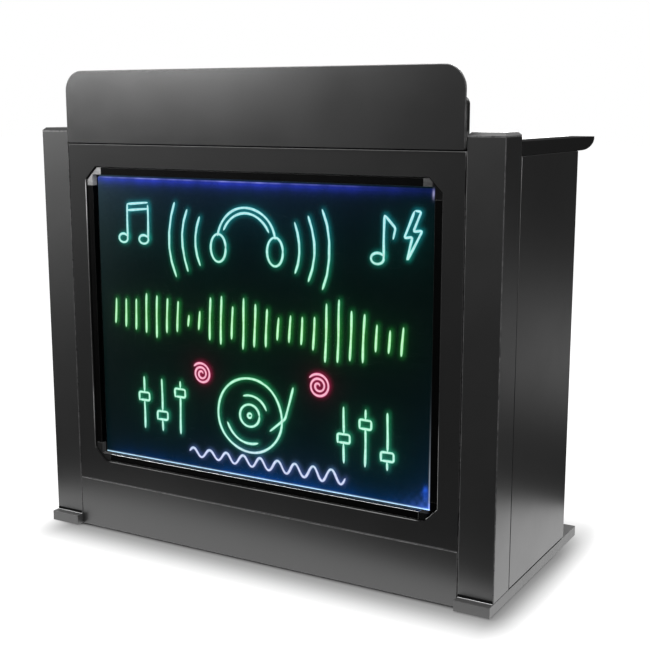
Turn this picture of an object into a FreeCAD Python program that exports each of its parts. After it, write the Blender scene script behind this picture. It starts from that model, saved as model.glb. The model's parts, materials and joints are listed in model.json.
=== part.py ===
import FreeCAD
import Part
import Sketcher
import os

# Free-standing DJ booth: two box columns on floor bars carry a front panel with a
# lit writing board, a raised shield, a lift-off worktop and two folding side panels.
# Millimetres, +Z up, front facing -Y, origin on the floor under the middle of the booth.

SIZES = {
    # Overall
    "booth_width": 1200,
    "booth_depth": 566,
    "worktop_height": 980,
    # Floor bars and glides
    "bar_height": 24,
    "bar_nose": 20,
    "bar_length": 560,
    "glide_thick": 3,
    "glide_radius": 15,
    "glide_stem_radius": 2.5,
    "glide_stem_length": 12,
    # Columns
    "column_width": 82,
    "column_depth": 88,
    "column_wall": 16,
    "column_rise": 19,
    "column_foot_height": 60,
    "column_cap_bevel": 7,
    "column_cap_edge": 1,
    "column_cap_plug": 20,
    # Front panels
    "front_thick": 18,
    "front_drop": 19,
    "seam_gap": 1,
    "kick_top": 126,
    "kick_clear": 3,
    "batten_width": 18,
    "batten_depth": 40,
    "batten_clear": 5,
    "kick_rail_thick": 18,
    "kick_rail_drop": 30,
    "ledger_depth": 40,
    "rail_clear": 4,
    # Shield
    "shield_height": 169.5,
    "shield_thick": 5,
    "shield_radius": 48,
    "shield_inset": 1,
    "backer_height": 111,
    "backer_radius": 20,
    "shield_pin_radius": 3,
    "shield_pin_length": 50,
    "shield_pin_setback": 167,
    # Worktop
    "worktop_thick": 30,
    "worktop_lip": 3,
    "worktop_nose": 88,
    "worktop_gap": 2,
    "stud_radius": 4,
    "stud_length": 36,
    "stud_setback": 118,
    # Folding side panels
    "wing_thick": 18,
    "wing_length": 358,
    "wing_gap": 2,
    "wing_foot_gap": 3,
    "wing_top_gap": 0.4,
    "hinge_height": 76,
    "hinge_plate": 2,
    "hinge_leaf": 36,
    "hinge_inset": 120,
    "knuckle_radius": 4,
    "knuckle_gap": 0.5,
    "hinge_pin_radius": 2,
    "magnet_radius": 6,
    "magnet_height": 10,
    "magnet_gap": 0.5,
    "catch_setback": 40,
    "catch_plate_length": 50,
    "catch_plate_width": 12,
    "catch_plate_thick": 1.5,
    # Lit writing board
    "margin_side": 51,
    "margin_top": 55,
    "margin_bottom": 54,
    "window_gap": 1.5,
    "bezel_face": 17,
    "bezel_depth": 15,
    "bezel_recess": 4,
    "rail_wall": 2,
    "flange_width": 12,
    "lip_width": 12,
    "corner_leg": 26,
    "corner_neck": 4,
    "corner_play": 0.4,
    "sheet_thick": 5,
    "backing_thick": 3,
    "sheet_play": 0.2,
    "strip_thick": 1.5,
    "chip_length": 5,
    "chip_width": 3,
    "chip_height": 2,
    "chip_gap": 0.5,
    # Turn buttons that hold the board
    "turn_clear": 4,
    "turn_thick": 2.5,
    "turn_lift": 0.3,
    "turn_spread": 200,
    # Control box
    "control_width": 110,
    "control_height": 62,
    "control_depth": 22,
    "control_wall": 2,
    "control_setback": 65,
    "control_rise": 30,
    "control_post_radius": 3.5,
    "control_rib_height": 5,
    "circuit_thick": 1.6,
    "circuit_margin": 4,
    "switch_height": 4,
    "button_radius": 4,
    "button_proud": 3,
    "button_travel": 1.5,
    "socket_radius": 5,
    "socket_bore": 2.75,
    "socket_pin": 1,
    "eye_radius": 2.5,
    "lead_radius": 1.5,
    "lead_bend": 8,
    # Fasteners
    "wood_screw_radius": 2,
    "wood_screw_head": 4,
    "wood_screw_head_height": 2.4,
    "wood_screw_bite": 12,
    "small_screw_radius": 1.5,
    "small_screw_head": 3,
    "small_screw_head_height": 1.5,
    "small_screw_bite": 4,
    "counterbore_depth": 8,
    # Clearances
    "hole_gap": 0.1,
    "moving_gap": 0.3,
}

DOC = FreeCAD.newDocument("DJBooth")
SHEET = DOC.addObject("Spreadsheet::Sheet", "Sizes")
NODES = {}


class Size:
    """A length and the spreadsheet formula that gives it."""

    def __init__(self, formula, value):
        self.formula = formula
        self.value = value

    def __add__(self, other):
        other = as_size(other)
        return Size(f"({self.formula} + {other.formula})", self.value + other.value)

    def __sub__(self, other):
        other = as_size(other)
        return Size(f"({self.formula} - {other.formula})", self.value - other.value)

    def __mul__(self, factor):
        factor = as_size(factor)
        return Size(f"({self.formula} * {factor.formula})", self.value * factor.value)

    def __truediv__(self, divisor):
        divisor = as_size(divisor)
        return Size(f"({self.formula} / {divisor.formula})", self.value / divisor.value)

    def __neg__(self):
        return Size(f"(0 - {self.formula})", -self.value)

    def __radd__(self, other):
        return as_size(other) + self

    def __rsub__(self, other):
        return as_size(other) - self

    def __rmul__(self, factor):
        return as_size(factor) * self


def as_size(item):
    if isinstance(item, Size):
        return item
    return Size(f"({item})", float(item))


class Sizes:
    """The driving sizes, one spreadsheet row each."""

    def __init__(self, table):
        for row, (name, value) in enumerate(table.items(), start=1):
            SHEET.set(f"A{row}", name)
            SHEET.set(f"B{row}", str(value))
            SHEET.setAlias(f"B{row}", name)
            setattr(self, name, Size(f"Sizes.{name}", float(value)))


def vector(x, y, z):
    return FreeCAD.Vector(x, y, z)


AXES = {
    "X": FreeCAD.Rotation(vector(0, 1, 0), 90),
    "-X": FreeCAD.Rotation(vector(0, 1, 0), -90),
    "Y": FreeCAD.Rotation(vector(1, 0, 0), -90),
    "-Y": FreeCAD.Rotation(vector(1, 0, 0), 90),
    "Z": FreeCAD.Rotation(),
    "-Z": FreeCAD.Rotation(vector(1, 0, 0), 180),
}
OPPOSITE = {"X": "-X", "-X": "X", "Y": "-Y", "-Y": "Y", "Z": "-Z", "-Z": "Z"}
DIRECTION = {
    "X": (1, 0, 0),
    "-X": (-1, 0, 0),
    "Y": (0, 1, 0),
    "-Y": (0, -1, 0),
    "Z": (0, 0, 1),
    "-Z": (0, 0, -1),
}


def bind(item, name, size):
    item.setExpression(name, as_size(size).formula)


def place(item, x, y, z, turn=None):
    if turn is not None:
        item.Placement = FreeCAD.Placement(vector(0, 0, 0), turn)
    bind(item, "Placement.Base.x", x)
    bind(item, "Placement.Base.y", y)
    bind(item, "Placement.Base.z", z)


def node(label, item):
    item.Label = label
    NODES[label] = item
    return item


def box(x, y, z, length, width, height):
    item = DOC.addObject("Part::Box", "Block")
    bind(item, "Length", length)
    bind(item, "Width", width)
    bind(item, "Height", height)
    place(item, x, y, z)
    return item


def span_box(x_range, y_range, z_range):
    """Box between two coordinates on each axis."""
    return box(
        x_range[0],
        y_range[0],
        z_range[0],
        x_range[1] - x_range[0],
        y_range[1] - y_range[0],
        z_range[1] - z_range[0],
    )


def cylinder(x, y, z, axis, radius, height):
    item = DOC.addObject("Part::Cylinder", "Round")
    bind(item, "Radius", radius)
    bind(item, "Height", height)
    place(item, x, y, z, AXES[axis])
    return item


def group(items):
    item = DOC.addObject("Part::Compound", "Set")
    item.Links = items
    return item


def fuse(items):
    item = DOC.addObject("Part::MultiFuse", "Joined")
    item.Shapes = items
    return item


def cut(base, tools):
    item = DOC.addObject("Part::Cut", "Cut")
    item.Base = base
    item.Tool = tools[0] if len(tools) == 1 else group(tools)
    return item


def along(point, axis, distance):
    """The point moved a distance along an axis."""
    step = DIRECTION[axis]
    return tuple(as_size(value) + as_size(distance) * unit for value, unit in zip(point, step))


def drill(point, axis, radius, start, end):
    """Hole tool on the axis through a point, from one distance to another."""
    begin = along(point, axis, start)
    return cylinder(*begin, axis, radius, as_size(end) - start)


def screw(point, axis, shank, length, head, head_height):
    """Screw with the underside of its head at the point, driven along the axis."""
    stem = cylinder(*point, axis, shank, length)
    cap = cylinder(*point, OPPOSITE[axis], head, head_height)
    return fuse([stem, cap])


def outward(sign, near, far):
    """X range of a piece between two distances from the middle on one side."""
    if sign > 0:
        return near, far
    return -as_size(far), -as_size(near)


def side_axis(sign):
    return "X" if sign > 0 else "-X"


def draw(sketch, corners):
    """Closed polygon whose corners are tied to the sheet."""
    first = sketch.GeometryCount
    count = len(corners)
    corners = [(as_size(x), as_size(y)) for x, y in corners]
    for index, (x, y) in enumerate(corners):
        next_x, next_y = corners[(index + 1) % count]
        start = vector(x.value, y.value, 0)
        end = vector(next_x.value, next_y.value, 0)
        sketch.addGeometry(Part.LineSegment(start, end), False)
    for index in range(count):
        following = first + (index + 1) % count
        sketch.addConstraint(Sketcher.Constraint("Coincident", first + index, 2, following, 1))
    for index, corner in enumerate(corners):
        for kind, size in zip(("DistanceX", "DistanceY"), corner):
            rule = Sketcher.Constraint(kind, -1, 1, first + index, 1, size.value)
            number = sketch.addConstraint(rule)
            sketch.setExpression(f"Constraints[{number}]", size.formula)


def new_body(name):
    return DOC.addObject("PartDesign::Body", name)


def add_pad(body, plane, outlines, depth, reverse=False):
    """Pad of one or more closed outlines on a body's own origin plane."""
    sketch = body.newObject("Sketcher::SketchObject", "Outline")
    support = [item for item in body.Origin.OriginFeatures if item.Role == plane][0]
    sketch.AttachmentSupport = (support, [""])
    sketch.MapMode = "FlatFace"
    for corners in outlines:
        draw(sketch, corners)
    pad = body.newObject("PartDesign::Pad", "Pad")
    pad.Profile = sketch
    pad.Reversed = reverse
    bind(pad, "Length", depth)
    body.Tip = pad
    return pad


def rectangle(x_range, y_range):
    return [
        (x_range[0], y_range[0]),
        (x_range[1], y_range[0]),
        (x_range[1], y_range[1]),
        (x_range[0], y_range[1]),
    ]


def octagon(x_range, y_range, leg):
    """Rectangle with its four corners cut at 45 degrees."""
    left, right = as_size(x_range[0]), as_size(x_range[1])
    low, high = as_size(y_range[0]), as_size(y_range[1])
    return [
        (left + leg, low),
        (right - leg, low),
        (right, low + leg),
        (right, high - leg),
        (right - leg, high),
        (left + leg, high),
        (left, high - leg),
        (left, low + leg),
    ]


def plate(name, outlines, y, thick):
    """Upright panel from outlines in X and Z, its front face at y."""
    body = new_body(name)
    add_pad(body, "XZ_Plane", outlines, thick, reverse=True)
    place(body, 0, y, 0)
    return body


def round_top_corners(body, radius):
    """Rounds the two upper corners of an upright panel."""
    DOC.recompute()
    pad = body.Tip
    top = pad.Shape.BoundBox.ZMax
    names = []
    for number, edge in enumerate(pad.Shape.Edges, start=1):
        ends = [corner.Point for corner in edge.Vertexes]
        level = all(abs(end.z - top) < 1e-6 for end in ends)
        across = abs(ends[0].x - ends[1].x) < 1e-6
        if level and across:
            names.append(f"Edge{number}")
    fillet = body.newObject("PartDesign::Fillet", "Corners")
    fillet.Base = (pad, names)
    bind(fillet, "Radius", radius)
    body.Tip = fillet


def face_towards(shape, direction):
    """Name of the flat face that lies furthest along a direction."""
    best = max(
        range(len(shape.Faces)),
        key=lambda index: shape.Faces[index].CenterOfMass.dot(direction),
    )
    return f"Face{best + 1}"


size = Sizes(SIZES)
DOC.recompute()

SIDES = (("left", -1), ("right", 1))
DIAGONAL = 2 ** 0.5

# Positions shared by several pieces
front = (size.bar_nose - size.booth_depth) / 2
half = size.booth_width / 2
inner = half - size.column_width
bar_top = size.glide_thick + size.bar_height
underside = size.worktop_height - size.worktop_thick
column_back = front + size.column_depth
column_top = size.worktop_height + size.column_rise
panel_half = inner - size.seam_gap
panel_back = front + size.front_thick
frame_top = size.worktop_height - size.front_drop
frame_bottom = size.kick_top + size.seam_gap
board_half = panel_half - size.margin_side
board_bottom = frame_bottom + size.margin_bottom
board_top = frame_top - size.margin_top
board_middle = (board_bottom + board_top) / 2
view_half = board_half - size.bezel_face
view_bottom = board_bottom + size.bezel_face
view_top = board_top - size.bezel_face
bezel_front = front + size.bezel_recess
corner_chamfer = size.bezel_face * 2 - size.corner_neck
strip_near = size.bezel_face - size.rail_wall - size.strip_thick
sheet_overlap = strip_near - size.chip_height - size.chip_gap
batten_inner = inner - size.batten_width
batten_back = panel_back + size.batten_depth
turn_pivot = (board_half + size.flange_width + batten_inner) / 2
turn_half_width = batten_inner - turn_pivot - size.turn_clear
turn_reach = turn_pivot - board_half - size.turn_clear
wing_front = column_back + size.wing_gap
wing_back = wing_front + size.wing_length
wing_inner = half - size.wing_thick
wing_bottom = bar_top + size.wing_foot_gap
wing_top = underside - size.wing_top_gap
control_middle = view_half - size.control_setback - size.control_width / 2
catch_middle = wing_inner + size.wing_thick / 2
catch_depth = wing_back - size.catch_setback
magnet_top = wing_bottom - size.catch_plate_thick - size.magnet_gap

wood_hole = size.wood_screw_radius + size.hole_gap
small_hole = size.small_screw_radius + size.hole_gap


def wood_screw(point, axis, length):
    return screw(
        point,
        axis,
        size.wood_screw_radius,
        length,
        size.wood_screw_head,
        size.wood_screw_head_height,
    )


def small_screw(point, axis, length):
    return screw(
        point,
        axis,
        size.small_screw_radius,
        length,
        size.small_screw_head,
        size.small_screw_head_height,
    )


def make_floor_bars():
    """Bars, glides, the blocks that hold the columns and the screws between them."""
    glides = []
    screws = []
    bar_front = front - size.bar_nose
    column_middle = (inner + half) / 2
    screw_start = size.glide_thick + size.counterbore_depth
    screw_length = bar_top + size.column_foot_height / 2 - screw_start
    for side, sign in SIDES:
        middle = column_middle * sign
        bar = span_box(
            outward(sign, inner, half),
            (bar_front, bar_front + size.bar_length),
            (size.glide_thick, bar_top),
        )
        foot = span_box(
            outward(sign, inner + size.column_wall, half - size.column_wall),
            (front + size.column_wall, column_back - size.column_wall),
            (bar_top, bar_top + size.column_foot_height),
        )
        bar_tools = []
        foot_tools = []
        for share in (0.06, 0.5, 0.94):
            point = (middle, bar_front + size.bar_length * share, 0)
            disc = cylinder(*point, "Z", size.glide_radius, size.glide_thick)
            stem_length = size.glide_thick + size.glide_stem_length
            stem = cylinder(*point, "Z", size.glide_stem_radius, stem_length)
            glides.append(fuse([disc, stem]))
            radius = size.glide_stem_radius + size.hole_gap
            bar_tools.append(drill(point, "Z", radius, 0, stem_length + size.hole_gap))
        for share in (0.36, 0.64):
            point = (middle, front + size.column_depth * share, screw_start)
            screws.append(wood_screw(point, "Z", screw_length))
            head_hole = size.wood_screw_head + size.hole_gap
            seat = drill(point, "Z", head_hole, -size.counterbore_depth - 1, 0)
            shank = drill(point, "Z", wood_hole, -1, screw_length)
            bar_tools.append(fuse([seat, shank]))
            foot_tools.append(drill(point, "Z", wood_hole, 0, screw_length + 1))
        magnet = (catch_middle * sign, catch_depth, magnet_top)
        magnet_hole = size.magnet_radius + size.hole_gap
        bar_tools.append(drill(magnet, "-Z", magnet_hole, 0, size.magnet_height))
        node(f"base_bar_{side}", cut(bar, bar_tools))
        node(f"column_foot_{side}", cut(foot, foot_tools))
    node("floor_glides", group(glides))
    node("column_screws", group(screws))


def batten_screw_points(sign):
    """Seats of the screws that fix one batten to its column."""
    heights = (0.14, 0.4, 0.68, 0.93)
    depth = panel_back + size.batten_depth * 0.65
    return [(batten_inner * sign, depth, underside * share) for share in heights]


def hinge_heights():
    """Lower ends of the three hinges on each side."""
    low = wing_bottom + size.hinge_inset
    high = wing_top - size.hinge_inset - size.hinge_height
    return [low, (low + high) / 2, high]


def hinge_screw_offsets():
    return [size.hinge_height * 0.2, size.hinge_height * 0.8]


def fixed_screw_points(sign):
    """Seats of the screws in the hinge leaves on one column."""
    across = (hinge_x - size.hinge_leaf * 0.5) * sign
    seat = column_back + size.hinge_plate
    return [(across, seat, low + step) for low in hinge_heights() for step in hinge_screw_offsets()]


def swing_screw_points(sign):
    """Seats of the screws in the hinge leaves on one side panel."""
    across = (wing_inner - size.hinge_plate) * sign
    seat = hinge_y + size.hinge_leaf * 0.8
    return [(across, seat, low + step) for low in hinge_heights() for step in hinge_screw_offsets()]


# The hinge pin stands in the inner corner between column and side panel
hinge_x = wing_inner - size.knuckle_radius - size.knuckle_gap
hinge_y = column_back + size.knuckle_radius + size.knuckle_gap


def make_columns():
    """Box columns with bevelled caps."""
    cap_thick = size.column_cap_bevel + size.column_cap_edge
    wall = size.column_wall
    short_bite = size.batten_width + size.wood_screw_bite
    for side, sign in SIDES:
        body = new_body("ColumnBox")
        outer = rectangle((0, size.column_width), (0, size.column_depth))
        hollow = rectangle(
            (wall, size.column_width - wall),
            (wall, size.column_depth - wall),
        )
        add_pad(body, "XY_Plane", [outer, hollow], column_top - cap_thick - bar_top)
        place(body, outward(sign, inner, half)[0], front, bar_top)
        tools = []
        for point in batten_screw_points(sign):
            tools.append(drill(point, side_axis(sign), wood_hole, size.batten_width - 1, short_bite + 1))
        for point in fixed_screw_points(sign):
            end = size.hinge_plate + size.wood_screw_bite + 1
            tools.append(drill(point, "-Y", wood_hole, 0, end))
        node(f"column_{side}", cut(body, tools))

        cap = new_body("ColumnCap")
        slab = add_pad(cap, "XY_Plane", [outer], cap_thick)
        DOC.recompute()
        bevel = cap.newObject("PartDesign::Chamfer", "Bevel")
        bevel.Base = (slab, [face_towards(slab.Shape, vector(0, 0, 1))])
        bind(bevel, "Size", size.column_cap_bevel)
        cap.Tip = bevel
        add_pad(cap, "XY_Plane", [hollow], size.column_cap_plug, reverse=True)
        place(cap, outward(sign, inner, half)[0], front, column_top - cap_thick)
        node(f"column_cap_{side}", cap)


def kick_rail_range():
    top = board_bottom - size.flange_width - size.rail_clear
    return size.kick_top - size.kick_rail_drop, top


def ledger_range():
    return board_top + size.flange_width + size.rail_clear, underside


def long_screw_points():
    """Seats of the screws through battens and ledger into the front panels."""
    points = []
    across = (batten_inner + inner) / 2
    for _, sign in SIDES:
        points.append((across * sign, batten_back, size.kick_top * 0.55))
        for share in (0.15, 0.5, 0.85):
            height = frame_bottom + (frame_top - frame_bottom) * share
            points.append((across * sign, batten_back, height))
    return points


def ledger_screw_points():
    low, high = ledger_range()
    seat = panel_back + size.ledger_depth
    return [(batten_inner * share, seat, (low + high) / 2) for share in (-0.9, -0.3, 0.3, 0.9)]


def rail_screw_points():
    """Seats of the screws through the kick rail, into both panels."""
    low, high = kick_rail_range()
    seat = panel_back + size.kick_rail_thick
    points = []
    for share in (-0.8, -0.27, 0.27, 0.8):
        points.append((batten_inner * share, seat, (low + size.kick_top) / 2))
        points.append((batten_inner * share, seat, (high + frame_bottom) / 2))
    return points


def turn_pivots():
    """Pivots of the four turn buttons on the back of the front panel."""
    pivots = {}
    for side, sign in SIDES:
        for level, step in (("lower", -1), ("upper", 1)):
            across = turn_pivot * sign
            height = board_middle + size.turn_spread * step
            pivots[f"{level}_{side}"] = (sign, (across, panel_back, height))
    return pivots


def shield_pin_points():
    """Seats of the locating pins on the top edge of the front panel."""
    depth = front + size.front_thick / 2
    reach = panel_half - size.shield_pin_setback
    return [(reach * step, depth, frame_top) for step in (-1, 0, 1)]


def make_front():
    """Window panel, kick panel and the timber that holds them to the columns."""
    x_range = (-panel_half, panel_half)
    edge = size.window_gap
    window = octagon(
        (-board_half - edge, board_half + edge),
        (board_bottom - edge, board_top + edge),
        corner_chamfer + edge * (2 - DIAGONAL),
    )
    panel = plate(
        "WindowPanel",
        [rectangle(x_range, (frame_bottom, frame_top)), window],
        front,
        size.front_thick,
    )
    kick = plate(
        "KickPanel",
        [rectangle(x_range, (size.kick_clear, size.kick_top))],
        front,
        size.front_thick,
    )
    long_length = size.batten_depth + size.wood_screw_bite
    ledger_length = size.ledger_depth + size.wood_screw_bite
    rail_length = size.kick_rail_thick + size.wood_screw_bite
    short_length = size.batten_width + size.wood_screw_bite

    panel_tools = []
    kick_tools = []
    long_screws = []
    short_screws = []
    batten_tools = {-1: [], 1: []}
    for point in long_screw_points():
        long_screws.append(wood_screw(point, "-Y", long_length))
        sign = 1 if point[0].value > 0 else -1
        batten_tools[sign].append(drill(point, "-Y", wood_hole, -1, size.batten_depth + 1))
        hole = drill(point, "-Y", wood_hole, size.batten_depth - 1, long_length + 1)
        lower = point[2].value < size.kick_top.value
        (kick_tools if lower else panel_tools).append(hole)
    ledger_tools = []
    for point in ledger_screw_points():
        long_screws.append(wood_screw(point, "-Y", ledger_length))
        ledger_tools.append(drill(point, "-Y", wood_hole, -1, size.ledger_depth + 1))
        panel_tools.append(drill(point, "-Y", wood_hole, size.ledger_depth - 1, ledger_length + 1))
    rail_tools = []
    for point in rail_screw_points():
        short_screws.append(wood_screw(point, "-Y", rail_length))
        rail_tools.append(drill(point, "-Y", wood_hole, -1, size.kick_rail_thick + 1))
        hole = drill(point, "-Y", wood_hole, size.kick_rail_thick - 1, rail_length + 1)
        lower = point[2].value < size.kick_top.value
        (kick_tools if lower else panel_tools).append(hole)
    for point in shield_pin_points():
        radius = size.shield_pin_radius + size.moving_gap
        panel_tools.append(drill(point, "-Z", radius, -1, size.shield_pin_length / 2 + 1))
    for _, point in turn_pivots().values():
        panel_tools.append(drill(point, "-Y", small_hole, -1, size.wood_screw_bite + 1))

    for side, sign in SIDES:
        batten = span_box(
            outward(sign, batten_inner, inner),
            (panel_back, batten_back),
            (bar_top / 2, underside - size.batten_clear),
        )
        for point in batten_screw_points(sign):
            axis = side_axis(sign)
            short_screws.append(wood_screw(point, axis, short_length))
            batten_tools[sign].append(drill(point, axis, wood_hole, -1, size.batten_width + 1))
        node(f"frame_batten_{side}", cut(batten, batten_tools[sign]))

    low, high = kick_rail_range()
    beam_range = (-batten_inner + size.seam_gap, batten_inner - size.seam_gap)
    rail = span_box(beam_range, (panel_back, panel_back + size.kick_rail_thick), (low, high))
    node("kick_rail", cut(rail, rail_tools))
    ledger = span_box(beam_range, (panel_back, panel_back + size.ledger_depth), ledger_range())
    for point in stud_points():
        radius = size.stud_radius + size.moving_gap
        ledger_tools.append(drill(point, "-Z", radius, -1, size.stud_length))
    node("worktop_ledger", cut(ledger, ledger_tools))
    node("front_frame", cut(panel, panel_tools))
    node("kick_panel", cut(kick, kick_tools))
    node("long_wood_screws", group(long_screws))
    node("short_wood_screws", group(short_screws))


def make_shield():
    """Thin raised shield on a lower backer that stands on the front panel with pins."""
    shield_bottom = frame_top + size.seam_gap
    shield_half = panel_half - size.shield_inset
    shield = plate(
        "ShieldSheet",
        [rectangle((-shield_half, shield_half), (shield_bottom, shield_bottom + size.shield_height))],
        front - size.shield_thick,
        size.shield_thick,
    )
    round_top_corners(shield, size.shield_radius)
    backer = plate(
        "ShieldBacker",
        [rectangle((-shield_half, shield_half), (frame_top, frame_top + size.backer_height))],
        front,
        size.front_thick,
    )
    round_top_corners(backer, size.backer_radius)

    shield_tools = []
    backer_tools = []
    screws = []
    length = size.front_thick + size.small_screw_bite
    for across in (-0.85, -0.3, 0.3, 0.85):
        for height in (0.3, 0.72):
            point = (shield_half * across, panel_back, frame_top + size.backer_height * height)
            screws.append(small_screw(point, "-Y", length))
            backer_tools.append(drill(point, "-Y", small_hole, -1, size.front_thick + 1))
            end = length + size.hole_gap
            shield_tools.append(drill(point, "-Y", small_hole, size.front_thick - 1, end))
    pins = []
    reach = size.shield_pin_length / 2
    for point in shield_pin_points():
        start = along(point, "Z", -reach)
        pins.append(cylinder(*start, "Z", size.shield_pin_radius, size.shield_pin_length))
        radius = size.shield_pin_radius + size.hole_gap
        backer_tools.append(drill(point, "Z", radius, -1, reach + size.hole_gap))
    node("shield", cut(shield, shield_tools))
    node("shield_backer", cut(backer, backer_tools))
    node("shield_pins", group(pins))
    node("shield_screws", group(screws))


def stud_points():
    """Seats of the worktop studs on top of the ledger."""
    depth = panel_back + size.ledger_depth * 0.62
    reach = inner - size.stud_setback
    return [(reach * step, depth, underside) for step in (-1, 1)]


def make_worktop():
    """Worktop with a tongue between the columns and a rounded rear nose."""
    body = new_body("WorktopSlab")
    back = front + size.booth_depth
    tongue_front = panel_back + size.worktop_gap
    tongue_half = panel_half - size.seam_gap
    shoulder = column_back + size.seam_gap
    outline = [
        (-half, shoulder),
        (-tongue_half, shoulder),
        (-tongue_half, tongue_front),
        (tongue_half, tongue_front),
        (tongue_half, shoulder),
        (half, shoulder),
        (half, back),
        (-half, back),
    ]
    add_pad(body, "XY_Plane", [outline], size.worktop_thick)
    place(body, 0, 0, underside)

    nose_rise = size.worktop_thick - size.worktop_lip
    corner = span_box(
        (-half - 1, half + 1),
        (back - size.worktop_nose, back + 1),
        (underside - 1, underside + nose_rise),
    )
    profile = DOC.addObject("Part::Ellipse", "NoseProfile")
    bind(profile, "MajorRadius", size.worktop_nose)
    bind(profile, "MinorRadius", nose_rise)
    turn = FreeCAD.Rotation(vector(1, 1, 1), 120)
    place(profile, -half - 2, back - size.worktop_nose, underside + nose_rise, turn)
    bulge = DOC.addObject("Part::Extrusion", "Nose")
    bulge.Base = profile
    bulge.DirMode = "Custom"
    bulge.Dir = vector(1, 0, 0)
    bulge.Solid = True
    bind(bulge, "LengthFwd", size.booth_width + 4)
    shaped = cut(body, [cut(corner, [bulge])])

    studs = []
    tools = []
    reach = size.stud_length / 2
    for point in stud_points():
        start = along(point, "Z", -reach)
        studs.append(cylinder(*start, "Z", size.stud_radius, size.stud_length))
        radius = size.stud_radius + size.hole_gap
        tools.append(drill(point, "Z", radius, -1, reach + size.hole_gap))
    node("worktop", cut(shaped, tools))
    node("worktop_studs", group(studs))


def make_wings():
    """Folding side panels with butt hinges and magnetic catches."""
    fixed_leaves = []
    pins = []
    fixed_screws = []
    magnets = []
    part_height = size.hinge_height / 3
    gap = size.moving_gap
    bite = size.hinge_plate + size.wood_screw_bite
    own_bore = size.hinge_pin_radius + size.hole_gap
    other_bore = size.hinge_pin_radius + size.moving_gap
    leaf_start = size.knuckle_radius + size.knuckle_gap
    for side, sign in SIDES:
        swing_leaves = []
        swing_screws = []
        panel_tools = []
        axis = side_axis(sign)
        fixed_points = fixed_screw_points(sign)
        swing_points = swing_screw_points(sign)
        for order, low in enumerate(hinge_heights()):
            high = low + size.hinge_height
            own_points = slice(order * 2, order * 2 + 2)

            plates = [
                span_box(
                    outward(sign, hinge_x - size.hinge_leaf, hinge_x - leaf_start),
                    (column_back, column_back + size.hinge_plate),
                    (low, high),
                )
            ]
            for start in (low, high - part_height + gap):
                end = start + part_height - gap
                plates.append(
                    span_box(
                        outward(sign, hinge_x - leaf_start, hinge_x),
                        (column_back, column_back + size.hinge_plate),
                        (start, end),
                    )
                )
                plates.append(
                    cylinder(hinge_x * sign, hinge_y, start, "Z", size.knuckle_radius, part_height - gap)
                )
            tools = [drill((hinge_x * sign, hinge_y, low), "Z", own_bore, -1, size.hinge_height + 1)]
            for point in fixed_points[own_points]:
                tools.append(drill(point, "-Y", wood_hole, -1, size.hinge_plate + 1))
                fixed_screws.append(wood_screw(point, "-Y", bite))
            fixed_leaves.append(cut(fuse(plates), tools))

            plates = [
                span_box(
                    outward(sign, wing_inner - size.hinge_plate, wing_inner),
                    (hinge_y + leaf_start, hinge_y + size.hinge_leaf),
                    (low, high),
                ),
                span_box(
                    outward(sign, wing_inner - size.hinge_plate, wing_inner),
                    (hinge_y, hinge_y + leaf_start),
                    (low + part_height, high - part_height),
                ),
                cylinder(
                    hinge_x * sign,
                    hinge_y,
                    low + part_height,
                    "Z",
                    size.knuckle_radius,
                    part_height,
                ),
            ]
            tools = [drill((hinge_x * sign, hinge_y, low), "Z", other_bore, -1, size.hinge_height + 1)]
            for point in swing_points[own_points]:
                tools.append(drill(point, axis, wood_hole, -1, size.hinge_plate + 1))
                panel_tools.append(drill(point, axis, wood_hole, 0, bite + 1))
                swing_screws.append(wood_screw(point, axis, bite))
            swing_leaves.append(cut(fuse(plates), tools))
            pins.append(
                cylinder(hinge_x * sign, hinge_y, low, "Z", size.hinge_pin_radius, size.hinge_height)
            )

        panel = span_box(
            outward(sign, wing_inner, half),
            (wing_front, wing_back),
            (wing_bottom, wing_top),
        )
        magnet = (catch_middle * sign, catch_depth, magnet_top)
        magnets.append(cylinder(*magnet, "-Z", size.magnet_radius, size.magnet_height))
        reach_x = size.catch_plate_width / 2
        reach_y = size.catch_plate_length / 2
        catch = span_box(
            outward(sign, catch_middle - reach_x, catch_middle + reach_x),
            (catch_depth - reach_y, catch_depth + reach_y),
            (wing_bottom - size.catch_plate_thick, wing_bottom),
        )
        node(f"side_panel_{side}", cut(panel, panel_tools))
        node(f"catch_plate_{side}", catch)
        node(f"hinge_swing_leaves_{side}", group(swing_leaves))
        node(f"hinge_swing_screws_{side}", group(swing_screws))
    node("catch_magnets", group(magnets))
    node("hinge_fixed_leaves", group(fixed_leaves))
    node("hinge_fixed_screws", group(fixed_screws))
    node("hinge_pins", group(pins))


# Depths inside the board, measured from the face of its bezel
sheet_start = size.bezel_depth + size.sheet_play
backing_start = sheet_start + size.sheet_thick + size.sheet_play
lip_start = backing_start + size.backing_thick + size.sheet_play
rail_depth = lip_start + size.rail_wall

RAIL_TURNS = {
    "top": FreeCAD.Rotation(vector(0, 1, 0), -90),
    "bottom": FreeCAD.Rotation(vector(0, 1, 0), 90),
    "left": FreeCAD.Rotation(vector(0, 1, 0), 180),
    "right": FreeCAD.Rotation(),
}


def lead_point():
    """Where the lead passes through the lip of the lower rail."""
    inside = strip_near - size.lead_radius / 2
    return control_middle, bezel_front + lip_start, view_bottom - inside


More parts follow.
